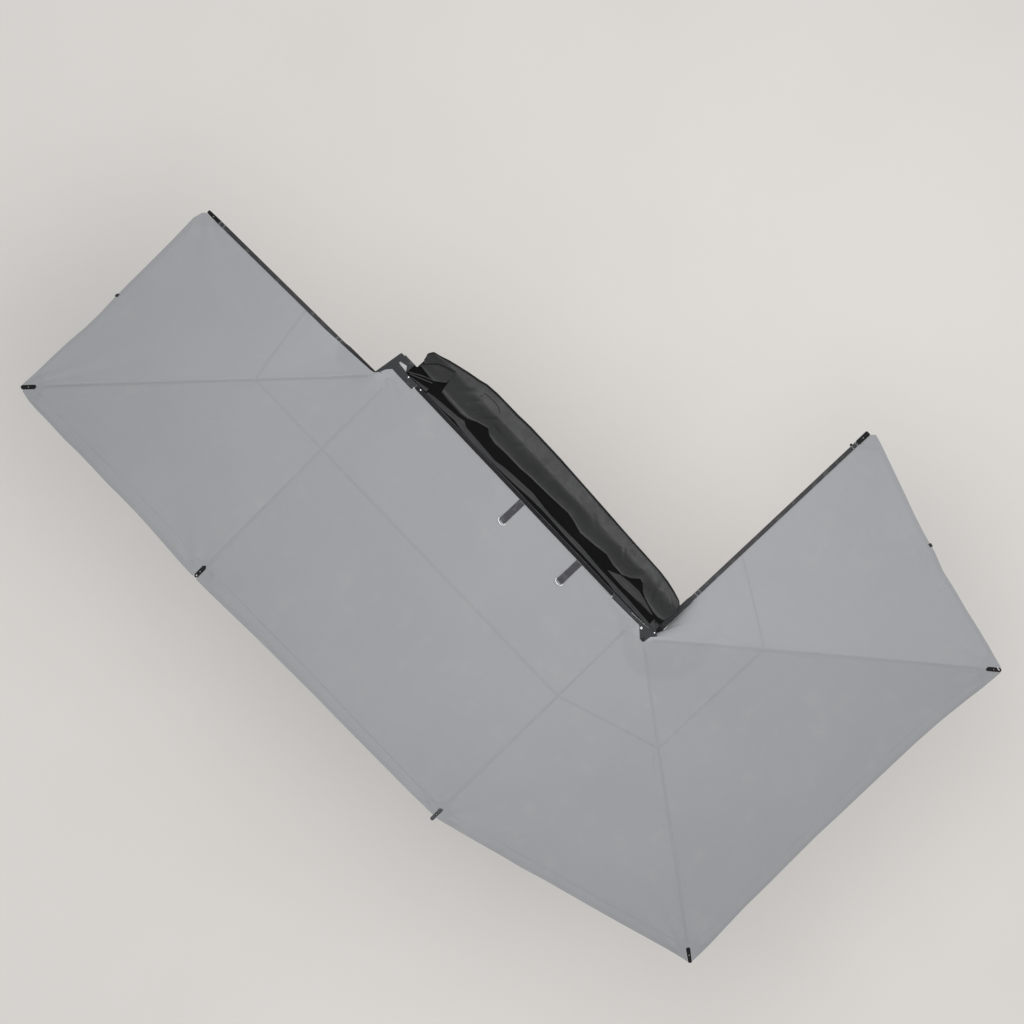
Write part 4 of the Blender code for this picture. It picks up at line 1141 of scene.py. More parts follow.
@dataclass(frozen=True)
class HubTent:
    """How the cloth is drawn up over the hubs' top plates and pins."""

    slope: float = 0.35
    rim: float = 0.027
    over: float = PLATE_TOP + 0.0009
    over_pin: float = PIN_HEAD_TOP + 0.0009
    pin_slope: float = 0.45
    pin_radius: float = 0.0135
    front_tongue: ClassVar = ((-1.238, -0.230), (-1.015, -0.060))
    rear_tongue: ClassVar = ((0.891, -0.170), (1.260, -0.060))
    rear_ear: ClassVar = (PIN_REAR_OUTER, (1.266, -0.128), 0.022)

    def lowest(self, x: Array, y: Array) -> Array:
        """Return the lowest height of cloth that lies over the plates and pins.

        Args:
            x: places along the case.
            y: places across it.

        Returns:
            The height at each place.
        """
        front = np.minimum(
            bar_distance(x, y, PIN_FRONT_INNER, PIN_FRONT_OUTER, self.rim),
            box_distance(x, y, *self.front_tongue),
        )
        rear = np.minimum(
            bar_distance(x, y, PIN_REAR_INNER, PIN_REAR_OUTER, self.rim),
            bar_distance(x, y, *self.rear_ear),
        )
        rear = np.minimum(rear, box_distance(x, y, *self.rear_tongue))
        height = self.over - self.slope * np.where(x < 0.0, front, rear)
        for pin in (PIN_FRONT_INNER, PIN_FRONT_OUTER, PIN_REAR_INNER, PIN_REAR_OUTER):
            head = bar_distance(x, y, pin, pin, self.pin_radius)
            height = np.maximum(height, self.over_pin - self.pin_slope * head)
        return height

    def shaped(self, grid: Array, hold: Array) -> Array:
        """Return heights drawn up to the hubs.

        Args:
            grid: the cloth's points.
            hold: 0 to 1, how much of the rise applies.

        Returns:
            The new heights.
        """
        x, y, z = grid[..., 0], grid[..., 1], grid[..., 2]
        return z + hold * (soft_max(z, self.lowest(x, y)) - z)


TENT = HubTent()


@dataclass
class CanopyPanel:
    """One curved panel of the canopy, from its first arm counter-clockwise to its second.

    The inner edge runs through the edge's points. The hem line says how many millimetres the
    hem lies outside the straight line between the two tips, at the shares of HEM_SHARES.
    """

    first: Arm
    second: Arm
    edge: tuple
    hem_line: tuple
    carrier: Body
    # painted light: a share that makes the whole panel lighter or darker, standing in for how light
    # falls on it
    tone_and_painted_light: float
    keder: bool = False
    columns: int = 118
    rows: int = 110
    sag: float = 0.030
    hem: float = 0.028
    lap: float = 0.007
    keder_height: float = 0.0987
    keder_hold: float = 0.80
    seam_ripple: float = 0.0010
    corner_fan: float = 0.0036
    hem_ripple: float = 0.0034
    hub_ripple: float = 0.0026
    swell: float = 0.0024
    valley_fold: float = 0.0009
    ridge_fold: float = 0.0007

    @property
    def node(self) -> str:
        """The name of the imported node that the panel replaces."""
        return f"canopy_panel_{self.first.number}_{self.second.number}"

    @property
    def name(self) -> str:
        """The panel's own name."""
        return f"canopy_cloth_{self.first.number}_{self.second.number}"

    @property
    def arms(self) -> tuple:
        """The panel's two arms."""
        return self.first, self.second

    @property
    def pace(self) -> float:
        """Metres of cloth for a whole share, near the hem."""
        return sum(each.corner - each.notch for each in self.arms) / 2 / (1 - KNEE)

    def sides(self, share: Array) -> tuple:
        """Return the points on the panel's two sides at a share of their length."""
        return self.first.side(1, share), self.second.side(-1, share)

    def hem_shift(self, t: Array) -> Array:
        """Return how far the hem lies outside the straight line between the panel's corners.

        Args:
            t: 0 on the first arm to 1 on the second.

        Returns:
            The horizontal offsets, as pairs.
        """
        tips = [each.point(each.length)[:2] for each in self.arms]
        span = tips[1] - tips[0]
        width = float(np.hypot(*span))
        way = span / width
        out = np.array([way[1], -way[0]])
        ends = [side[0, :2] for side in self.sides(np.ones(1))]
        along = [float((end - tips[0]) @ way) / width for end in ends]
        aside = [float((end - tips[0]) @ out) for end in ends]
        places = [along[0], *HEM_SHARES, along[1]]
        offsets = [aside[0], *(0.001 * value for value in self.hem_line), aside[1]]
        share = along[0] + (along[1] - along[0]) * t
        blur = 0.008 * 4 * t * (1 - t)
        wanted = sum(np.interp(share + k * blur, places, offsets) for k in (-1, 0, 1)) / 3
        return (wanted - aside[0] - (aside[1] - aside[0]) * t)[..., None] * out

    def edge_offset(self, t: Array, straight: Array) -> Array:
        """Return how far the inner edge lies from the straight line between the sides.

        Args:
            t: 0 on the first arm to 1 on the second.
            straight: the points on that line.

        Returns:
            The horizontal offsets, as pairs.
        """
        edge = np.array(self.edge, float)
        lengths = np.concatenate([[0.0], np.cumsum(np.linalg.norm(np.diff(edge, axis=0), axis=1))])
        lengths /= lengths[-1]
        place = np.stack([np.interp(t, lengths, edge[:, k]) for k in range(2)], axis=-1)
        return place - straight[..., :2]

    def wrinkles(self, grid: Array, t: Array, share: Array, width: Array) -> Array:
        """Return the small folds of the cloth.

        Args:
            grid: the smooth points.
            t: 0 to 1 across the panel.
            share: 0 to 1 along it.
            width: the panel's width at each point.

        Returns:
            Their height at each point.
        """
        rng = np.random.default_rng(10 + self.first.number)
        phase = rng.uniform(0.0, 2 * math.pi, 12)
        length = self.first.outer
        from_hub, from_hem = share * length, (1 - share) * length
        bow = 4 * t * (1 - t)
        x, y = grid[..., 0], grid[..., 1]
        lift = np.zeros_like(t)
        for k, gap in enumerate((t * width, (1 - t) * width)):
            near = np.exp(-(((gap - 0.035) / 0.045) ** 2)) * smooth_step(gap, 0.016, 0.030)
            beat = 0.6 + 0.4 * wave(from_hub, 0.37, phase[k])
            lift += self.seam_ripple * near * beat * wave(from_hub, 0.088, phase[2 + k])
            corner = np.hypot(gap, from_hem)
            fan = np.exp(-corner / 0.34) * smooth_step(corner, 0.02, 0.10)
            angle = np.arctan2(gap, from_hem + 1e-6)
            lift += self.corner_fan * fan * np.sin(9 * angle + phase[4 + k])
        hem = np.exp(-from_hem / 0.11) * wave(t * width, 0.46, phase[6])
        hub = np.exp(-from_hub / 0.30) * smooth_step(from_hub, 0.02, 0.14)
        hub = hub * np.sin(11 * t + phase[7])
        slow = np.sin(3.1 * x + 1.7 * y + phase[8]) * np.sin(2.3 * y - 1.9 * x + phase[9])
        lift += (self.hem_ripple * hem + self.hub_ripple * hub + self.swell * slow) * bow
        for fold in (1 / 3, 2 / 3):
            valley = np.exp(-np.abs(t - fold) * width / 0.010) * smooth_step(share, 0.1, 0.3)
            ridge = np.exp(-np.abs(share - fold) * length / 0.010) * bow
            lift += self.ridge_fold * ridge - self.valley_fold * valley
        for crease in CREASES:
            lift += crease.lift(x, y)
        return lift * smooth_step(np.minimum(t, 1 - t) * width, 0.014, 0.030)

    def surface(self, u: Array, v: Array) -> Array:
        """Return points of the panel.

        Args:
            u: 0 on the first arm to 1 on the second.
            v: 0 at the inner edge to 1 at the hem.

        Returns:
            The points, in the shape of u and v together.
        """
        t, share = np.broadcast_arrays(np.asarray(u, float), np.asarray(v, float))
        a, b = self.sides(share)
        width = np.linalg.norm(b - a, axis=-1)
        first, second = (np.minimum(each.level / width, 0.30) for each in self.arms)
        rise = np.clip((t - first) / (1 - first - second), 0.0, 1.0)
        grid = a + (b - a) * t[..., None]
        a0, b0 = self.sides(np.zeros_like(share))
        pull = ((1 - share) ** 9)[..., None]
        grid[..., :2] += self.edge_offset(t, a0 + (b0 - a0) * t[..., None]) * pull
        grid[..., :2] += self.hem_shift(t) * (share**5)[..., None]
        height = a[..., 2] + (b[..., 2] - a[..., 2]) * rise
        if self.keder:
            hold = (1 - (2 * rise - 1) ** 8) * np.clip(1 - share / self.keder_hold, 0.0, 1.0)
            height = height + (self.keder_height - height) * hold
        grid[..., 2] = height - self.sag * 4 * rise * (1 - rise) * share
        grid[..., 2] += self.wrinkles(grid, t, share, width)
        hold = np.minimum(1.0, 1.25 * (1 - t)) ** 0.8 if self.second.wide else np.ones_like(t)
        grid[..., 2] = TENT.shaped(grid, hold)
        return grid

    def grid(self) -> Array:
        """Return the panel's own grid of points, closer together on the arms and at the hub."""
        u = np.linspace(0.0, 1.0, self.columns + 1)
        u = np.unique(np.concatenate([u, [0.003, 0.006, 0.010, 0.990, 0.994, 0.997]]))
        v = np.linspace(0.0, 1.0, self.rows + 1)
        steps = (-0.004, -0.002, 0.0, 0.0004, 0.0008, 0.0012, 0.0016, 0.0020, 0.0030)
        knee = KNEE + np.array(steps)
        v = np.unique(np.concatenate([v, np.linspace(0.0, 0.06, 14), knee, [0.98, 0.99, 0.997]]))
        return self.surface(u[:, None], v[None, :])

    def build(self, thread: Material) -> Array:
        """Build the panel with its hem, cross seam, corner patches and stitches.

        Args:
            thread: the stitches' material.

        Returns:
            The panel's grid of points.
        """
        turn = (self.first.angle + self.second.angle) / 2
        cloth, doubled = (
            finish.material(turn, self.tone_and_painted_light) for finish in (CANOPY_CLOTH, DOUBLED_CLOTH)
        )
        grid = self.grid()
        panel = sheet_shape(grid, CLOTH).piece(self.name, cloth, self.carrier, Slot.CANOPY)
        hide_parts(self.node)
        bands = self.doubled().piece(f"{self.name}_bands", doubled, self.carrier, Slot.CANOPY)
        seams = self.stitches().piece(f"{self.name}_stitches", thread, self.carrier, Slot.CANOPY)
        round(grid_area(grid), 2)
        for piece in (panel, bands, seams):
            self.fold(piece)
        return grid

    def band(self, u: Array, v: Array, lift: float) -> Shape:
        """Return a second layer of cloth that lies on part of the panel.

        Args:
            u: its places across the panel.
            v: its places along the panel.
            lift: how far its middle lies above the panel's.

        Returns:
            The layer.
        """
        grid = self.surface(u, v)
        return sheet_shape(upward(grid) * lift + grid, CLOTH)

    def doubled(self) -> Shape:
        """Return the doubled cloth: the hem, the lapped cross seam and the corner patches."""
        u = rows_of(0.0, 1.0, self.columns + 1)
        hem = columns_of(1 - self.hem / self.pace, 1.0, 4)
        seam = self.cross_places(u, columns_of(-self.lap, self.lap, 3))
        bands = [self.band(u, v, CLOTH) for v in (hem, seam)]
        return Shape.joined([*bands, self.corner_patch(False), self.corner_patch(True)])

    def cross_places(self, u: Array, offset: Array) -> Array:
        """Return places along the panel beside its cross seam.

        Args:
            u: places across the panel.
            offset: how far outside the seam, in metres.

        Returns:
            The places.
        """
        first, second = (each.seam_share for each in self.arms)
        return first + (second - first) * u + offset / self.first.outer

    def corner_patch(self, at_second: bool) -> Shape:
        """Return the triangular patch of cloth at one of the panel's outer corners.

        Args:
            at_second: whether it lies at the second arm instead of the first.

        Returns:
            The patch.
        """
        rows = np.linspace(1 - 0.16 / self.pace, 0.9995, 12)
        corners = self.surface(np.array([0.0, 1.0]), np.array([1.0, 1.0]))
        across = 0.13 / float(np.linalg.norm(corners[1] - corners[0]))
        growth = 0.02 + 0.98 * (rows - rows[0]) / (rows[-1] - rows[0])
        columns = rows_of(0.002, 1.0, 10) * across * growth[None, :]
        u = 1 - columns[::-1] if at_second else columns
        return self.band(u, np.broadcast_to(rows[None, :], u.shape), 2 * CLOTH)

    def stitches(self) -> Shape:
        """Return two rows of stitches along the hem and two along the cross seam."""
        u = np.linspace(0.004, 0.996, 160)
        lines = [np.full(u.shape, 1 - place / self.pace) for place in (self.hem - 0.004, 0.004)]
        lines += [self.cross_places(u, offset) for offset in (-0.0045, 0.0045)]
        return Shape.joined([stitch_shape(self.surface(u, v) + 1.7 * CLOTH * UP) for v in lines])

    def fold(self, piece: bpy.types.Object) -> None:
        """Give a piece of the panel its own copy of its mesh.

        Args:
            piece: the panel's cloth, or a piece on it.
        """
        if self.keder:
            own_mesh(piece)
            return
        carrier = next(each for each in ARMS if each.body is self.carrier)
        anchor = carrier.point(0.5)
        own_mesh(piece)


# Each panel's tone is painted light: it brightens or darkens the panel's colour in place of
# differences in how light falls on the panels.
PANELS = (
    CanopyPanel(
        arm(1), arm(2),
        edge=((-1.290, -0.276), (-1.268, -0.2685), (-1.251, -0.256)),
        hem_line=(20, 36, 32, 26, 22, 18, 16, 11, 1, -1, 6, 6, 3, 4, 5),
        carrier=Body.ARM_2,
        tone_and_painted_light=1.04,
    ),
    CanopyPanel(
        arm(2), arm(3),
        edge=((-1.251, -0.256), (-1.2267, -0.200), (-1.2005, -0.1675), (-1.157, -0.1685)),
        hem_line=(10, 22, 24, 21, 22, 14, 11, 11, 4, 0, 0, 3, 6, 6, 6),
        carrier=Body.ARM_2,
        tone_and_painted_light=0.99,
    ),
    CanopyPanel(
        arm(3), arm(4),
        edge=(
            (-1.157, -0.1685), (-1.0155, -0.1685), (-1.0135, -0.1500), (0.8895, -0.1500),
            (0.8905, -0.1560), (1.1086, -0.1490),
        ),
        hem_line=(4, 4, 1, -4, -10, -13, -16, -19, -19, -20, -22, -24, -26, -30, -31),
        carrier=Body.CASE,
        tone_and_painted_light=0.935,
        keder=True,
        columns=190,
    ),
    CanopyPanel(
        arm(4), arm(5),
        edge=((1.1086, -0.1490), (1.148, -0.1480), (1.213, -0.2060), (1.236, -0.2085)),
        hem_line=(-26, -23, -20, -17, -15, -9, -12, -9, -7, -5, -4, -5, -5, -4, 0),
        carrier=Body.ARM_5,
        tone_and_painted_light=0.93,
    ),
    CanopyPanel(
        arm(5), arm(6),
        edge=((1.236, -0.2085), (1.2475, -0.2010), (1.2500, -0.1850)),
        hem_line=(2, 1, -6, -19, -23, -29, -36, -33, -35, -35, -36, -28, -11, 0, 6),
        carrier=Body.ARM_6,
        tone_and_painted_light=0.92,
    ),
    CanopyPanel(
        arm(6), arm(7),
        edge=(
            (1.2500, -0.1850), (1.2535, -0.160), (1.2620, -0.1180), (1.2680, -0.0970),
            (1.2719, -0.0881), (1.2775, -0.0858), (1.2822, -0.0822), (1.2858, -0.0774),
            (1.2881, -0.0719), (1.2888, -0.0660), (1.2880, -0.0060),
        ),
        hem_line=(6, 5, 6, 2, -5, -7, -15, 0, -3, 3, 14, 22, 31, 35, 36),
        carrier=Body.ARM_6,
        tone_and_painted_light=1.015,
    ),
)


def upward(grid: Array) -> Array:
    """Return a grid's normals, turned so that they point up."""
    normals = grid_normals(grid)
    return normals * np.sign(normals[..., 2:])


def grid_area(grid: Array) -> float:
    """Return the area of a grid of points, from the diagonals of its quads."""
    a = grid[1:, 1:] - grid[:-1, :-1]
    b = grid[1:, :-1] - grid[:-1, 1:]
    return float(np.linalg.norm(np.cross(a, b), axis=-1).sum() / 2)


@dataclass
class Canopy:
    """The whole canopy: six panels, the tapes over their seams, and two edge loops."""

    tape_width: float = 0.014
    tape_start: float = 0.060
    loop_width: float = 0.026
    loop_reach: float = 0.008

    def build(self) -> BVHTree:
        """Build the canopy.

        Returns:
            A tree of the cloth's surface, to lay things on.
        """
        tape, thread = DOUBLED_CLOTH.material(tone_and_painted_light=0.96), SEAM_THREAD.material()
        points, faces, count = [], [], 0
        for panel in PANELS:
            grid = panel.build(thread)
            LOG.info("built %s", panel.name)
            rows, columns = grid.shape[:2]
            points.append(grid.reshape(-1, 3))
            faces += grid_faces(rows, columns, count)
            count += rows * columns
        tree = BVHTree.FromPolygons(np.concatenate(points).tolist(), faces)
        for each in ARMS[1:-1]:
            self.seam_tape(each, tree, tape, thread)
        self.edge_loop("front_edge_loop", PANELS[0], 0.484)
        self.edge_loop("rear_edge_loop", PANELS[-1], 0.528)
        return tree

    def seam_tape(self, each: Arm, tree: BVHTree, cloth: Material, thread: Material) -> None:
        """Lay the tape over the seam on one arm, with two rows of stitches.

        Args:
            each: the arm.
            tree: the canopy's surface.
            cloth: the tape's material.
            thread: the stitches' material.
        """
        half = self.tape_width / 2
        distances = np.linspace(self.tape_start, each.notch - 0.0005, 150)
        asides = np.multiply.outer(np.linspace(-half, half, 5), each.left)
        places = each.point(distances)[:, None] + asides
        grid = np.array([[laid(tree, place, 1.9 * CLOTH) for place in row] for row in places])
        middle = grid[:, 1:4, 2].max(axis=1)
        grid[:, :, 2] = np.maximum(grid[:, :, 2], middle[:, None] - 0.0004)
        grid = grid[::-1]
        name = f"canopy_seam_{each.number}"
        tape = sheet_shape(grid, CLOTH).piece(name, cloth, each.body, Slot.CANOPY)
        rows = Shape.joined([stitch_shape(grid[:, k] + 0.9 * CLOTH * UP) for k in (1, 3)])
        stitches = rows.piece(f"{name}_stitches", thread, each.body, Slot.CANOPY)

    def edge_loop(self, name: str, panel: CanopyPanel, share: float) -> None:
        """Sew a small webbing loop to a panel's hem.

        Args:
            name: the loop's name.
            panel: the panel.
            share: where it sits, as a share of the panel's width.
        """
        u = share + np.array([0.0, 0.0, -0.01, 0.01])
        hem = panel.surface(u, np.array([0.985, 1.0, 1.0, 1.0]))
        out, across = unit(hem[1] - hem[0]), unit(hem[3] - hem[2])
        reach, lift = self.loop_reach, 2.2 * CLOTH
        over = [(-0.012, lift), (-0.003, lift), (reach * 0.7, lift + 0.001)]
        under = [(distance, -height) for distance, height in over[::-1]]
        path = np.array([hem[1] + out * a + b * UP for a, b in [*over, (reach, 0.0005), *under]])
        sides = np.linspace(-self.loop_width / 2, self.loop_width / 2, 4)
        grid = path[:, None] + sides[None, :, None] * across[None, None]
        webbing = LOOP_WEBBING.material()
        panel.fold(sheet_shape(grid, 0.0012).piece(name, webbing, panel.carrier, Slot.WEBBING))


def laid(tree: BVHTree, place: Array, lift: float) -> Array:
    """Return a point on the cloth.

    Args:
        tree: the cloth's surface.
        place: where to look; its height counts only where there is no cloth.
        lift: how far above the cloth's middle.

    Returns:
        The point.
    """
    hit = tree.ray_cast(Vector((place[0], place[1], 1.0)), Vector((0.0, 0.0, -1.0)))[0]
    height = hit.z if hit else place[2]
    return np.array([place[0], place[1], height + lift])


# Case and hubs
@dataclass
class Case:
    """Rail, brackets and hubs: finishes, bolts, the fabric strip, and a near-black sheet of painted
    shade beside the rail.
    """

    bolt_radius: float = 0.0068
    bolt_height: float = 0.0048
    washer_radius: float = 0.0085
    washer_height: float = 0.0014
    keder_top: float = 0.1033
    rib_pitch: float = 0.0085
    cover: float = 0.31  # least share of its flat size in a strip's area figure, which nothing reads
    tongue_bolts: ClassVar = (-1.0983, -1.0372, 1.1169, 1.0165, 0.9161)
    tongue_line: ClassVar = -0.100
    brackets: ClassVar = (-0.8, 0.0, 0.8)
    bracket_bolt: ClassVar = (0.021, -0.0337 + GAP, 0.033)
    # Path of a thin bright rod that stands in for light along the rail's edge: a painted highlight
    highlight_rod: ClassVar = ((1.050, -0.1275, 0.1021), (1.140, -0.1210, 0.1024), (1.205, -0.1162, 0.1048))
    bright_bolt: ClassVar = (1.170, -0.1505)
    rivets: ClassVar = (
        (-1.087, -0.1265, PLATE_TOP + GAP),
        (-0.971, -0.1265, 0.1050),
        (1.253, -0.1090, PLATE_TOP + GAP),
    )
    bare_corners: ClassVar = (
        (-1.1995, -0.107), (-1.125, -0.1135), (-1.1475, -0.0835), (-1.1995, -0.094),
    )
    wedge_outer: ClassVar = ((-1.074, -0.1150), (-0.939, -0.1095))
    wedge_inner: ClassVar = ((-1.074, -0.1130), (-0.941, -0.0836))
    strip_outer: ClassVar = (
        (-0.928, -0.1150), (-0.793, -0.1130), (-0.671, -0.1020), (-0.597, -0.1130),
        (-0.483, -0.1165), (-0.274, -0.1120), (-0.189, -0.1090), (-0.078, -0.1035),
        (0.036, -0.0940), (0.143, -0.0900), (0.232, -0.0910), (0.431, -0.0980),
        (0.678, -0.1000), (0.795, -0.1040), (0.867, -0.1110), (1.138, -0.1130), (1.247, -0.1140),
    )
    strip_inner: ClassVar = (
        (-0.928, -0.1020), (-0.883, -0.0920), (-0.669, -0.0680), (-0.625, -0.0580),
        (-0.586, -0.0780), (-0.431, -0.0850), (-0.296, -0.0910), (-0.222, -0.0780),
        (-0.136, -0.0690), (0.035, -0.0570), (0.150, -0.0680), (0.243, -0.0730),
        (0.495, -0.0680), (0.699, -0.0790), (0.971, -0.0820), (1.112, -0.0880), (1.247, -0.0940),
    )

    def build(self) -> None:
        """Dress the case's nodes and add its bolts, strip and near-black sheet of painted shade."""
        rail, plate, zinc = (
            finish.material() for finish in (RAIL_METAL, POWDER_COAT, ZINC_PLATE)
        )
        blackened = BLACKENED.material()
        pins = ("front_inner", "front_outer", "rear_inner", "rear_outer", "rear_end")
        dress_nodes(rail, "base_rail", "keder_rail")
        dress_nodes(plate, "bracket_front", "bracket_middle", "bracket_rear", "front_top_plate")
        dress_nodes(plate, "front_hub_bracket", "rear_hub_bracket")
        dress_nodes(plate, "rear_top_plate", "rear_base_plate")
        dress_nodes(blackened, *(f"pin_{pin}" for pin in pins))
        self.bolts(zinc, blackened)
        self.bright_plate(BARE_PLATE.material())
        self.keder_tape()
        self.strips()
        self.shade_sheet()
        LOG.info("built the case")

    def bolt(self) -> Shape:
        """Return one hexagon bolt head on its washer, standing on Z 0."""
        low, rim = self.washer_height, self.washer_radius
        top, chamfer = low + self.bolt_height, 0.0003
        head = [(0.0, top), (self.bolt_radius * 0.80, top), (self.bolt_radius, top - 0.0010)]
        head += [(self.bolt_radius, low), (0.0, low)]
        washer = [(0.0, low), (rim - chamfer, low), (rim, low - chamfer), (rim, 0.0), (0.0, 0.0)]
        return Shape.joined([lathe_shape(head, 6), lathe_shape(washer, 20)])

    def bolts(self, zinc: Material, blackened: Material) -> None:
        """Put bolts on the plates and brackets, rivets by the hubs, and a thin bright rod by the
        rear hub that stands in for light along the rail's edge: a painted highlight.

        Args:
            zinc: the bright hardware's material.
            blackened: the dark bolts' material.
        """
        bolt, top = self.bolt(), PLATE_TOP + GAP
        dark = [
            bolt.moved(turned((x, self.tongue_line, top), 0.4 + 0.7 * number, "Z"))
            for number, x in enumerate(self.tongue_bolts)
        ]
        bright = [bolt.moved(turned((*self.bright_bolt, top), 0.3, "Z"))]
        aside, y, z = self.bracket_bolt
        bright += [
            bolt.moved(turned((x + side * aside, y, z), math.radians(-90), "X"))
            for x in self.brackets
            for side in (-1, 1)
        ]
        rivet = lathe_shape([(0.0, 0.003), (0.004, 0.0026), (0.006, 0.0), (0.0, 0.0)], 16)
        bright += [rivet.moved(Matrix.Translation(place)) for place in self.rivets]
        # painted highlight: a bright zinc rod laid where light catches the rail's edge
        bright.append(tube_shape(resampled(np.array(self.highlight_rod), 0.010), 0.0014, 8))
        Shape.joined(dark).piece("hub_bolts", blackened, Body.CASE, Slot.ZINC)
        Shape.joined(bright).piece("case_bolts", zinc, Body.CASE, Slot.ZINC)

    def bright_plate(self, metal: Material) -> None:
        """Lay the small bare plate on the front tongue, by the bag's end.

        Args:
            metal: its material.
        """
        low, high, inset = PLATE_TOP + GAP, PLATE_TOP + 0.0018, 0.0010
        rim = np.array(self.bare_corners)
        top = rim + unit(rim.mean(axis=0) - rim) * inset
        rings = [
            np.column_stack([ring, np.full(4, z)])
            for ring, z in ((rim, low), (rim, high - inset * 0.5), (top, high))
        ]
        faces = [(3, 2, 1, 0), (8, 9, 10, 11), *ring_faces(0, 4, 4), *ring_faces(4, 8, 4)]
        Shape(np.concatenate(rings), faces).piece("hub_bare_plate", metal, Body.CASE, Slot.ZINC)

    def keder_tape(self) -> None:
        """Lay the ribbed tape over the keder rail."""
        x, v = rows_of(-1.004, 0.880, 1200), columns_of(0.0, 1.0, 7)
        y = -0.1475 + 0.0255 * v + 0.0006 * np.sin(19.0 * x)
        rib = 0.0004 * np.abs(np.sin(math.pi * x / self.rib_pitch)) * np.sin(math.pi * v) ** 0.5
        z = self.keder_top + 0.0006 + rib + 0.0006 * np.sin(math.pi * v)
        grid = points_at(x, y, z)
        tape = sheet_shape(grid, 0.0006)
        tape = tape.piece("keder_tape", KEDER_TAPE.material(), Body.CASE, Slot.BAG)
        round(grid_area(grid), 4)

    def strips(self) -> None:
        """Lay the charcoal cloth beside the keder rail: a short front wedge and a long strip."""
        cloth, width = CHARCOAL_CLOTH.material(), 0.045
        for name, outer, inner, count in (
            ("rail_strip_front", self.wedge_outer, self.wedge_inner, 60),
            ("rail_strip", self.strip_outer, self.strip_inner, 460),
        ):
            x, v = rows_of(outer[0][0], outer[-1][0], count), columns_of(0.0, 1.0, 12)
            near = line_at(outer, x)
            y = near + (line_at(inner, x) - near) * v
            curl = 0.0040 * smooth_step(v, 0.45, 0.8) - 0.0030 * smooth_step(v, 0.8, 1.0)
            ripple = 0.0010 * np.sin(46.0 * x + 3 * v) * v + 0.0006 * np.sin(97.0 * x) * v
            z = RAIL_TOP + 0.0020 + self.over_plate(x) + curl + ripple
            grid = points_at(x, y, z + self.bolt_bulges(x, y))
            strip = sheet_shape(grid, 0.0010).piece(name, cloth, Body.CASE, Slot.BAG)
            length = outer[-1][0] - outer[0][0] + 0.01
            round(max(grid_area(grid), self.cover * width * length), 4)

    @staticmethod
    def over_plate(x: Array) -> Array:
        """Return how far cloth is lifted where it lies on a hub plate's tongue."""
        lifted = 1 - smooth_step(x, -1.018, -1.008) + smooth_step(x, 0.882, 0.890)
        return 0.0052 * lifted

    def bolt_bulges(self, x: Array, y: Array) -> Array:
        """Return how far the cloth stands over the bolts that it covers.

        Args:
            x: places along the case.
            y: places across it.

        Returns:
            The lift at each place.
        """
        lift = np.zeros(np.broadcast(x, y).shape)
        for place in self.tongue_bolts:
            near = np.hypot(x - place, y - self.tongue_line) / 0.013
            lift = np.maximum(lift, 0.0074 * np.exp(-(near**4)))
        return lift

    def shade_sheet(self) -> None:
        """Lay a near-black sheet between the keder rail and the bag's lid: painted shade, in place
        of the shadow inside the open bag.
        """
        x, v = rows_of(-1.118, 1.188, 420), columns_of(0.0, 1.0, 16)
        y = -0.1184 + 0.0784 * v
        ripple = 0.0004 * (1 + np.sin(25.0 * x + 5 * v)) * np.sin(math.pi * v)
        z = RAIL_TOP + 0.0007 + self.over_plate(x) + ripple + self.bolt_bulges(x, y)
        grid = points_at(x, y, z)
        shade_sheet = sheet_shape(grid, 0.0008)
        shade_sheet = shade_sheet.piece("rail_shade_sheet", ZIP_TAPE_AND_SHADE_CLOTH.material(), Body.CASE, Slot.BAG)
        round(grid_area(grid), 3)


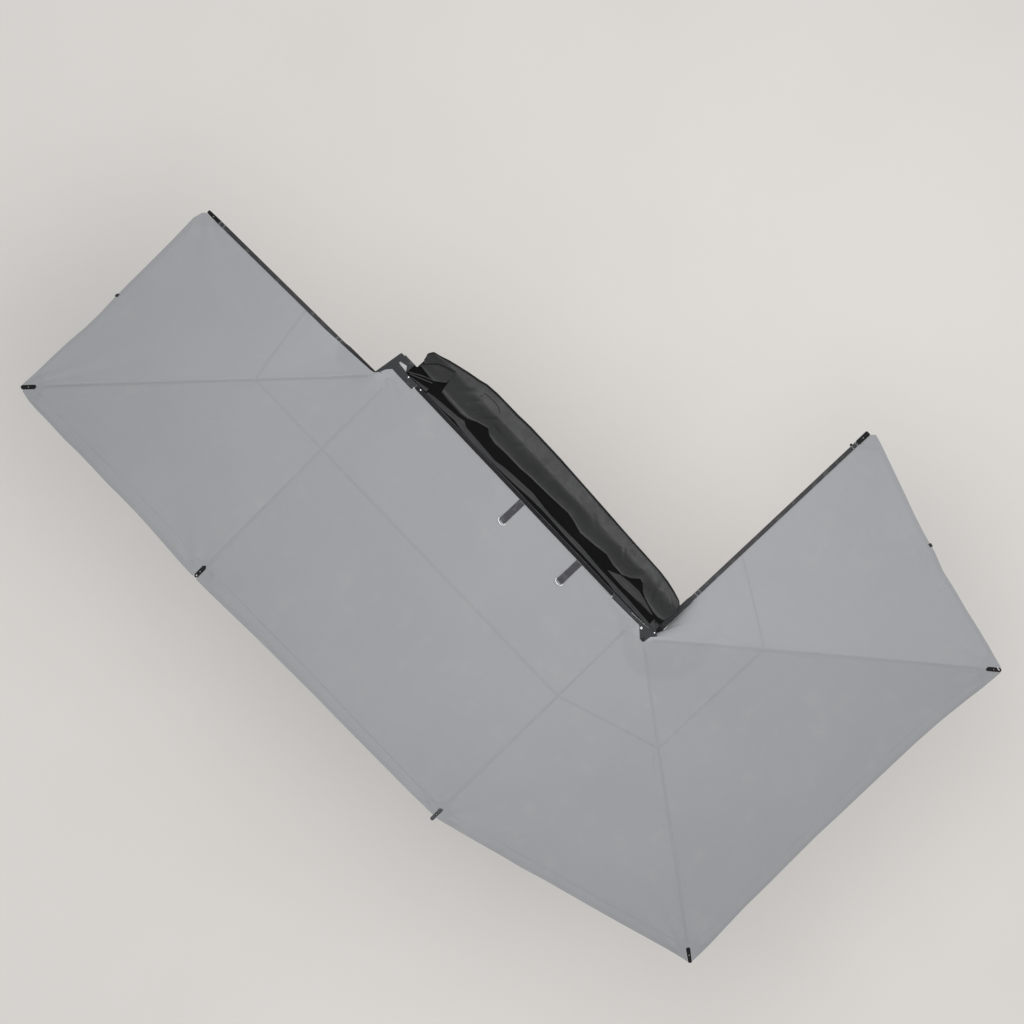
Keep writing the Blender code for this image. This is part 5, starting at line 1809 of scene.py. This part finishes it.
# Straps
@dataclass
class Strap:
    """One webbing strap that lies on the canopy, with the D-ring sewn in its end."""

    name: str
    place: float
    width: float = 0.050
    thickness: float = 0.0018
    start: float = -0.1500
    end: float = -0.3296
    wire: float = 0.0025
    lap: float = 0.062
    floor: float = 0.0957
    ring_half: float = 0.029
    ring_depth: float = 0.022
    ring_corner: float = 0.004

    def heights(self, tree: BVHTree, ys: Array) -> Array:
        """Return the height of the strap's underside.

        Args:
            tree: the canopy's surface.
            ys: places along the strap.

        Returns:
            The height at each place.
        """
        sides = np.linspace(-self.width / 2, self.width / 2, 5) + self.place
        tops = [max(laid(tree, (x, y, 0.0), 0.0)[2] for x in sides) for y in ys]
        return np.maximum(np.array(tops) + CLOTH / 2 + GAP, self.floor)

    def build(self, tree: BVHTree, webbing: Material, chrome: Material) -> None:
        """Build the strap, its stitches and its D-ring.

        Args:
            tree: the canopy's surface.
            webbing: the strap's material.
            chrome: the ring's material.
        """
        ys = np.linspace(self.start, self.end, 34)
        under = self.heights(tree, ys) + self.thickness / 2
        radius = self.wire + 0.0008 + self.thickness / 2
        centre = under[-1] + radius
        turns = np.linspace(-math.pi / 2, -3 * math.pi / 2, 14)[1:-1]
        loop = [(self.end + radius * math.cos(t), centre + radius * math.sin(t)) for t in turns]
        back = np.linspace(self.end + 0.012, self.end + self.lap, 12)
        top = np.interp(back, ys[::-1], under[::-1]) + self.thickness + 0.0001
        lead = [(self.end + 0.004, centre + radius * 0.95)]
        profile = [*zip(ys, under), *loop, *lead, *zip(back, top)]
        across = np.linspace(-self.width / 2, self.width / 2, 12)
        grid = np.array([[(self.place + a, y, z) for a in across] for y, z in profile])
        strap = sheet_shape(grid[:, ::-1], self.thickness)
        strap = strap.piece(f"{self.name}_webbing", webbing, Body.CASE, Slot.WEBBING)
        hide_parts(self.name)
        self.stitch_box(back, top)
        self.ring(centre, chrome)
        LOG.info("built %s", self.name)

    def stitch_box(self, back: Array, top: Array) -> None:
        """Sew the folded end down with a box and a cross.

        Args:
            back: places along the folded end.
            top: the height of its middle at each place.
        """
        y0, y1 = back[0] + 0.004, back[-1] - 0.003
        half = self.width / 2 - 0.004
        x0, x1 = self.place - half, self.place + half
        corners = [(x0, y0), (x1, y0), (x1, y1), (x0, y1), (x0, y0), (x1, y1)]
        rows = []
        for a, b in [*zip(corners, corners[1:]), ((x1, y0), (x0, y1))]:
            path = np.linspace((*a, 0.0), (*b, 0.0), 12)
            path[:, 2] = np.interp(path[:, 1], back, top) + self.thickness / 2 + 0.0003
            rows.append(stitch_shape(path, pitch=0.0035, width=0.0010))
        thread = SEAM_THREAD.material()
        Shape.joined(rows).piece(f"{self.name}_stitches", thread, Body.CASE, Slot.WEBBING)

    def ring(self, centre: float, chrome: Material) -> None:
        """Build the D-ring.

        Args:
            centre: the height of its wire's middle.
            chrome: its material.
        """
        half, corner, bow = self.ring_half, self.ring_corner, self.ring_depth - self.ring_corner
        turns = np.linspace(0.0, math.pi, 40)
        line = [(half * math.cos(t), -corner - bow * math.sin(t)) for t in turns]
        line += [(-half, -corner * 0.5), (-half + corner * 0.4, 0.0), (0.0, 0.0)]
        line += [(half - corner * 0.4, 0.0), (half, -corner * 0.5)]
        path = np.array([(self.place + x, self.end + y, centre) for x, y in line])
        ring = tube_shape(path, self.wire, 14, closed=True)
        ring = ring.piece(f"{self.name}_ring", chrome, Body.CASE, Slot.CHROME)
        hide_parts(f"strap_ring_{self.name.split('_')[1]}")


# Storage bag
@dataclass
class Bag:
    """The storage bag: its lid, thrown back over the rack, and its hanging lower half."""

    sheet: float = 0.0016
    hinge_y: float = -0.0397
    hinge_z: float = 0.0950
    floor: float = 0.0060
    fall: float = 0.170
    roll: float = 0.024
    roll_height: float = 0.011
    start: float = -1.1105
    end: float = 1.2535
    outer_edge: ClassVar = (
        (-1.1105, 0.078), (-1.094, 0.108), (-1.038, 0.124), (-0.985, 0.144), (-0.899, 0.167),
        (-0.837, 0.183), (-0.754, 0.200), (-0.695, 0.217), (-0.606, 0.225), (-0.412, 0.227),
        (-0.294, 0.233), (-0.005, 0.231), (0.156, 0.225), (0.278, 0.221), (0.446, 0.215),
        (0.577, 0.209), (0.745, 0.203), (0.866, 0.200), (0.991, 0.196), (1.070, 0.188),
        (1.150, 0.172), (1.213, 0.154), (1.240, 0.134), (1.2535, 0.109),
    )
    inner_edge: ClassVar = (
        (-1.1105, 0.062), (-1.102, 0.030), (-1.085, 0.010), (-0.956, 0.012), (-0.905, 0.045),
        (-0.885, 0.030), (-0.868, -0.038), (-0.780, -0.044), (-0.679, -0.046), (-0.620, -0.034),
        (-0.561, -0.003), (-0.484, 0.023), (-0.442, -0.006), (-0.382, -0.016), (-0.288, -0.009),
        (-0.141, -0.008), (-0.070, 0.001), (0.112, 0.009), (0.290, 0.021), (0.354, 0.010),
        (0.436, -0.013), (0.568, 0.002), (0.660, 0.018), (0.739, 0.000), (0.829, -0.003),
        (0.889, 0.028), (0.934, 0.068), (0.963, 0.060), (1.001, 0.024), (1.040, 0.005),
        (1.100, -0.013), (1.153, -0.024), (1.198, -0.023), (1.234, -0.012), (1.249, 0.037),
        (1.2535, 0.099),
    )
    gusset_upper: ClassVar = (
        (0.742, -0.048), (0.821, -0.010), (0.896, 0.002), (0.985, 0.007), (1.054, -0.007),
        (1.156, -0.036),
    )
    gusset_lower: ClassVar = (
        (0.742, -0.051), (0.875, -0.055), (0.970, -0.049), (1.068, -0.046), (1.156, -0.041),
    )
    flap_lower: ClassVar = ((-1.091, -0.017), (-1.020, -0.024), (-0.956, -0.028), (-0.889, 0.030))
    flap_upper: ClassVar = ((-1.091, -0.012), (-1.021, 0.068), (-0.974, 0.093), (-0.898, 0.119))
    # Path of a dark cord that stands in for the shadow under a fold's edge: painted shade
    fold_shadow_line: ClassVar = (
        (-0.670, 0.164), (-0.650, 0.169), (-0.622, 0.172), (-0.590, 0.174), (-0.563, 0.173),
        (-0.540, 0.169), (-0.524, 0.164), (-0.510, 0.156), (-0.501, 0.146),
    )
    inner_folds: ClassVar = (
        ((-1.112, -0.104), (-1.080, -0.084), (-1.040, -0.060), (-1.000, -0.040), (-0.967, -0.026)),
        ((-1.095, -0.104), (-1.060, -0.090), (-1.010, -0.066), (-0.975, -0.050), (-0.950, -0.040)),
    )
    folds: ClassVar = (
        Crease((-0.720, 0.000), (-0.668, 0.034), 0.010, -0.0035),
        Crease((-0.693, 0.053), (-0.648, 0.112), 0.011, 0.0040),
        Crease((-0.672, 0.150), (-0.640, 0.090), 0.010, 0.0035),
        Crease((-0.639, 0.000), (-0.605, 0.085), 0.011, 0.0040),
        Crease((-0.820, 0.020), (-0.700, 0.150), 0.018, 0.0060),
        Crease((-0.560, 0.030), (-0.470, 0.120), 0.012, 0.0050),
        Crease((-0.480, 0.060), (-0.380, 0.045), 0.014, 0.0060),
        Crease((-0.300, 0.020), (-0.240, 0.120), 0.014, 0.0040),
        Crease((0.060, 0.100), (0.150, 0.050), 0.022, 0.0040),
        Crease((0.400, 0.150), (0.520, 0.060), 0.020, 0.0050),
        Crease((0.681, 0.132), (0.735, 0.004), 0.012, 0.0060),
        Crease((0.700, 0.145), (0.775, 0.070), 0.011, 0.0040),
        Crease((0.765, 0.082), (0.840, 0.088), 0.010, 0.0030),
        Crease((0.735, 0.160), (0.805, 0.140), 0.009, 0.0022),
        Crease((0.850, 0.075), (0.905, 0.092), 0.009, 0.0028),
        Crease((0.862, 0.052), (0.920, 0.078), 0.009, 0.0026),
        Crease((0.880, 0.110), (0.930, 0.092), 0.009, 0.0024),
        Crease((1.072, -0.004), (1.024, 0.166), 0.010, 0.0060),
        Crease((1.100, 0.010), (1.060, 0.140), 0.014, -0.0060),
        Crease((1.085, 0.106), (1.166, 0.016), 0.014, 0.0055),
        Crease((1.146, 0.142), (1.240, 0.076), 0.009, 0.0030),
        Crease((1.168, 0.150), (1.225, 0.118), 0.008, 0.0022),
        Crease((1.170, 0.010), (1.215, 0.100), 0.010, 0.0050),
    )

    def build(self) -> None:
        """Build the lid and the lower half."""
        vinyl, piping = BAG_VINYL.material(), PIPING.material()
        self.lid(vinyl, piping)
        self.lid_shade_sheet()
        charcoal = CHARCOAL_CLOTH.material()
        self.gusset(charcoal)
        for number, places in enumerate(self.inner_folds, 1):
            self.loose_fold(f"lid_inner_fold_{number}", places, charcoal)
        self.end_flap(vinyl, piping)
        self.lower(vinyl, piping)
        LOG.info("built the bag")

    def crumple(self, x: Array, y: Array) -> Array:
        """Return the lid's general creasing.

        Args:
            x: places along the case.
            y: places across it.

        Returns:
            The lift at each place.
        """
        lift = np.zeros(np.broadcast(x, y).shape)
        rng = np.random.default_rng(5)
        for _ in range(7):
            turn = rng.uniform(0.0, math.pi)
            pitch = rng.uniform(0.14, 0.36)
            phase = rng.uniform(0.0, 2 * math.pi)
            height = rng.uniform(0.0008, 0.0022)
            bend = 0.03 * np.sin(9.0 * x + phase) + 0.03 * np.sin(17.0 * y - phase)
            along = (x * math.cos(turn) + y * math.sin(turn) + bend) / pitch
            lift += height * (1 - np.abs(np.sin(math.pi * along + phase)) ** 1.2)
        for fold in self.folds:
            lift += fold.lift(x, y)
        return lift

    def bed(self, y: Array) -> Array:
        """Return the height that the lid lies on: level at its hinge, then down to the rack."""
        drop = smooth_step(y - self.hinge_y, 0.004, self.fall)
        return self.hinge_z + (self.floor - self.hinge_z) * drop

    def lid_surface(self, u: Array, v: Array) -> Array:
        """Return points of the lid.

        Args:
            u: 0 at its front end to 1 at its rear end.
            v: 0 at the rolled fold to 1 at its far edge.

        Returns:
            The points.
        """
        x = self.start + (self.end - self.start) * u
        near = line_at(self.inner_edge, x)
        width = line_at(self.outer_edge, x) - near
        y = near + width * v
        inward = y - near
        roll = np.sqrt(np.clip(1 - (1 - inward / self.roll) ** 2, 0.0, 1.0))
        roll = np.where(inward < self.roll, roll, 1.0)
        settle = 1 - 0.72 * smooth_step(inward, self.roll, 0.10)
        room = smooth_step(width, 0.0, 0.06)
        z = self.bed(y) + 0.0034 + self.roll_height * roll * settle * room
        soft = smooth_step(inward, 0.004, 0.045) * room
        z = z + self.crumple(x, y) * soft * (1 - 0.8 * smooth_step(v, 0.86, 1.0))
        z = z + smooth_step(v, 0.88, 1.0) * (0.005 + 0.002 * np.sin(13.0 * x + 1.0))
        z = z + 0.004 * np.sin(7.0 * x + 0.6) ** 2 * np.sin(math.pi * v) * soft
        return points_at(x, y, z)

    def lid(self, vinyl: Material, piping: Material) -> None:
        """Build the lid with its piping, its zip, and a dark cord along a fold that stands in for
        the shadow under it: painted shade.

        Args:
            vinyl: the lid's material.
            piping: the cords' material.
        """
        v = np.concatenate([np.linspace(0.0, 0.08, 9)[:-1], np.linspace(0.08, 1.0, 62)])
        grid = self.lid_surface(rows_of(0.0, 1.0, 520), v[None, :])
        lid = sheet_shape(grid, self.sheet).piece("lid_shell", vinyl, None, Slot.BAG)
        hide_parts("bag_lid")
        self.across_hinge(lid)
        ends = [grid[0, 12:], grid[1:-1, -1], grid[-1, ::-1][:-12]]
        path = resampled(np.concatenate(ends), 0.006) + 0.0014 * UP
        cord = tube_shape(path, 0.0042, 8).piece("lid_piping", piping, Body.LID, Slot.BAG)
        inner = self.lid_surface(rows_of(0.012, 0.975, 460), columns_of(0.955, 0.990, 3))
        tape = sheet_shape(inner + upward(inner) * 0.0016, 0.0012)
        zipper = tape.piece("lid_zip_tape", ZIP_TAPE_AND_SHADE_CLOTH.material(), Body.LID, Slot.BAG)
        teeth = self.zip_teeth(inner[:, 1] + upward(inner)[:, 1] * 0.0030)
        teeth = teeth.piece("lid_zip_teeth", piping, Body.LID, Slot.PLASTIC)
        # painted shade: a dark cord laid where the shadow under a fold's edge falls
        seam = tube_shape(self.on_lid(self.fold_shadow_line, 0.0012), 0.0022, 8)
        seam = seam.piece("lid_fold_shadow_cord", piping, Body.LID, Slot.BAG)
        round(grid_area(grid), 3)

    def on_lid(self, places: tuple, lift: float) -> Array:
        """Return a smooth path over the lid through some places.

        Args:
            places: where the path goes.
            lift: how far it stands above the lid's middle.

        Returns:
            The path's points.
        """
        path = route(places, 0.004)
        x, y = path[:, 0], path[:, 1]
        near, far = line_at(self.inner_edge, x), line_at(self.outer_edge, x)
        u = (x - self.start) / (self.end - self.start)
        path[:, 2] = self.lid_surface(u, (y - near) / (far - near))[:, 2] + lift
        return path

    @staticmethod
    def zip_teeth(path: Array) -> Shape:
        """Return a zip's row of moulded teeth.

        Args:
            path: the points that the row follows.

        Returns:
            The teeth.
        """
        corners = [(x, y, z) for x in (-1, 1) for y in (-1, 1) for z in (0, 1)]
        faces = [(0, 1, 3, 2), (4, 6, 7, 5), (0, 4, 5, 1), (2, 3, 7, 6), (0, 2, 6, 4), (1, 5, 7, 3)]
        tooth = Shape(np.array(corners, float) * (0.0022, 0.0028, 0.0016), faces)
        places = resampled(path, 0.0075)
        ways = unit(np.gradient(places, axis=0))
        turns = np.arctan2(ways[:, 1], ways[:, 0])
        return Shape.joined([tooth.moved(turned(p, turn, "Z")) for p, turn in zip(places, turns)])

    def across_hinge(self, piece: bpy.types.Object) -> None:
        """Bake a piece's placement into its mesh."""
        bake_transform(piece)

    def lid_shade_sheet(self) -> None:
        """Lay a near-black sheet from the rail to under the lid's rolled fold: painted shade, in
        place of the shadow inside the open bag.
        """
        x, v = rows_of(-1.096, 1.240, 420), columns_of(0.0, 1.0, 30)
        far, near = line_at(self.inner_edge, x) + 0.016, -0.0475
        y = near + (far - near) * v
        ripple = 0.0006 * (1 + np.sin(31.0 * x + 40.0 * y))
        grid = points_at(x, y, self.bed(y) + 0.0014 + ripple)
        shade_sheet = sheet_shape(grid, 0.0008)
        shade_sheet = shade_sheet.piece("lid_shade_sheet", ZIP_TAPE_AND_SHADE_CLOTH.material(), None, Slot.BAG)
        round(max(grid_area(grid), 0.102), 4)
        self.across_hinge(shade_sheet)

    def gusset(self, cloth: Material) -> None:
        """Lay the charcoal gusset by the rear end.

        Args:
            cloth: its material.
        """
        x = rows_of(self.gusset_upper[0][0], self.gusset_upper[-1][0], 150)
        v = columns_of(0.0, 1.0, 16)
        low = line_at(self.gusset_lower, x)
        y = low + (line_at(self.gusset_upper, x) - low) * v
        z = self.bed(y) + 0.0048 + 0.004 * np.sin(math.pi * v) + 0.001 * np.sin(34.0 * x)
        z = np.maximum(z, RAIL_TOP + 0.0085 - 2.0 * np.clip(y + 0.046, 0.0, 1.0))
        grid = points_at(x, y, z)
        gusset = sheet_shape(grid, 0.0010).piece("lid_gusset", cloth, None, Slot.BAG)
        round(grid_area(grid), 4)
        self.across_hinge(gusset)

    def loose_fold(self, name: str, places: tuple, cloth: Material) -> None:
        """Lay one loose narrow fold of cloth by the front end.

        Args:
            name: its name.
            places: where it runs.
            cloth: its material.
        """
        path = route(places, 0.004)
        side = unit(np.cross(np.gradient(path, axis=0), UP))
        half = 0.0035
        across = np.linspace(-half, half, 5)
        grid = path[:, None] + side[:, None] * across[None, :, None]
        y = grid[..., 1]
        level = np.where(y < -0.044, PLATE_TOP + 0.0035, self.bed(y))
        grid[..., 2] = level + 0.0060 + 0.0015 * np.cos(across / half * 1.4)
        fold = sheet_shape(grid, 0.0010).piece(name, cloth, None, Slot.BAG)
        area = grid_area(grid)
        self.across_hinge(fold)

    def end_flap(self, vinyl: Material, piping: Material) -> None:
        """Fold the loose end flap over the lid's front end, with a dark cord along its top edge.

        Args:
            vinyl: the flap's material.
            piping: the dark cord's material.
        """
        u, v = np.linspace(0.0, 1.0, 70), np.linspace(0.0, 1.0, 30)
        low, high = (
            np.stack([np.interp(u, np.linspace(0, 1, len(edge)), part) for part in edge.T], axis=1)
            for edge in (route(places, 0.002) for places in (self.flap_lower, self.flap_upper))
        )
        grid = low[:, None] + (high - low)[:, None] * v[None, :, None]
        puff = np.sin(math.pi * u)[:, None] * np.sin(math.pi * v)
        edge = np.minimum(v, 1 - v) * np.linalg.norm(high - low, axis=1)[:, None]
        roll = 0.006 * np.sqrt(np.clip(edge / 0.008, 0.0, 1.0))
        grid[..., 2] = self.bed(grid[..., 1]) + 0.0185 + roll + 0.005 * puff
        flap = sheet_shape(grid, self.sheet).piece("lid_end_flap", vinyl, Body.LID, Slot.BAG)
        bound = resampled(grid[:, -1] + np.array([-0.002, 0.004, -0.002]), 0.006)
        cord = tube_shape(bound, 0.0032, 8)
        cord = cord.piece("lid_end_flap_dark_cord", piping, Body.LID, Slot.BAG)
        round(max(grid_area(grid), 0.0102), 4)

    def lower(self, vinyl: Material, piping: Material) -> None:
        """Build the lower half of the bag, which hangs from the rail's foot.

        Args:
            vinyl: the cloth's material.
            piping: the cord's material.
        """
        u, v = rows_of(0.0, 1.0, 360), columns_of(0.0, 1.0, 60)
        x = -1.140 + 2.280 * u
        swing = 0.010 * v * np.cos(2 * math.pi * 5 * u)
        small = 0.0022 * v * np.sin(41.0 * x + 4 * v) + 0.0015 * np.sin(17.0 * x - 9 * v) * v
        fold = 0.003 * np.exp(-(((v - 0.45 - 0.05 * np.sin(5 * x)) / 0.05) ** 2))
        y = -0.0500 - swing + small + fold
        z = -0.0945 - 0.2390 * v + 0.002 * np.sin(11.0 * x) * v
        grid = points_at(x, y, z)
        flap = sheet_shape(grid, self.sheet).piece("lower_shell", vinyl, Body.CASE, Slot.BAG)
        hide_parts("bag_lower_flap")
        cord = tube_shape(resampled(grid[:, -1], 0.006), 0.0030, 8)
        cord = cord.piece("lower_piping", piping, Body.CASE, Slot.BAG)
        tape = sheet_shape(grid[:, -6:-1] - np.array([0.0, 0.0016, 0.0]), 0.0012)
        tape = tape.piece("lower_zip_tape", ZIP_TAPE_AND_SHADE_CLOTH.material(), Body.CASE, Slot.BAG)


# Studio
@dataclass
class Studio:
    """A plain pale floor, soft light, and a camera that looks straight down."""

    floor_height: float = -2.10
    height: float = 24.0
    span: float = 6.758
    aim: Point = (0.028, -0.243)
    canopy_height: float = 0.09
    turn: float = 46.53
    floor_half: float = 30.0
    sky: Color = (0.96, 0.98, 1.0)
    sky_strength: float = 0.50

    def build(self) -> None:
        """Build the floor, the lights and the camera."""
        self.floor()
        self.world()
        self.lamp("key_light", (0.2, -0.1, 6.5), 5.0, 235.0)
        self.lamp("side_light", (5.5, 4.5, 6.0), 4.0, 92.0)
        self.camera()
        bpy.context.scene.view_settings.view_transform = "Standard"
        LOG.info("built the studio")

    def floor(self) -> None:
        """Lay the floor."""
        half, z = self.floor_half, self.floor_height
        corners = [(-half, -half, z), (half, -half, z), (half, half, z), (-half, half, z)]
        mesh = bpy.data.meshes.new("floor")
        mesh.from_pydata(corners, [], [(0, 1, 2, 3)])
        mesh.materials.append(PALE_FLOOR.material())
        new_object("floor", mesh)

    def world(self) -> None:
        """Light the scene evenly from all round."""
        world = bpy.data.worlds.new("studio")
        world.use_nodes = True
        background = world.node_tree.nodes["Background"]
        background.inputs["Color"].default_value = (*self.sky, 1.0)
        background.inputs["Strength"].default_value = self.sky_strength
        bpy.context.scene.world = world

    def lamp(self, name: str, place: Place, size: float, power: float) -> None:
        """Hang a soft square lamp that points at the awning.

        Args:
            name: the lamp's name.
            place: where it hangs.
            size: its side.
            power: its power in watts.
        """
        light = bpy.data.lights.new(name, "AREA")
        light.shape = "SQUARE"
        light.size = size
        light.energy = power
        lamp = new_object(name, light)
        lamp.location = place
        aim = Vector((self.aim[0], self.aim[1], 0.0)) - Vector(place)
        lamp.rotation_euler = aim.to_track_quat("-Z", "Y").to_euler()

    def camera(self) -> None:
        """Put the camera right above the awning."""
        data = bpy.data.cameras.new("camera")
        data.sensor_width = 36.0
        data.lens = data.sensor_width * self.height / self.span
        data.clip_end = 100.0
        camera = new_object("camera", data)
        camera.location = (*self.aim, self.canopy_height + self.height)
        camera.rotation_euler = (0.0, 0.0, math.radians(self.turn))
        bpy.context.scene.camera = camera


def main() -> None:
    """Build the awning's looks and the studio, in order."""
    logging.basicConfig(level=logging.INFO)
    ArmDress().build()
    LOG.info("dressed the arms")
    tree = Canopy().build()
    Case().build()
    webbing, chrome = STRAP_WEBBING.material(), RING_CHROME.material()
    for name, place in (("strap_front", 0.026), ("strap_rear", 0.576)):
        Strap(name, place).build(tree, webbing, chrome)
    Bag().build()
    Studio().build()


if __name__ == "__main__":
    main()
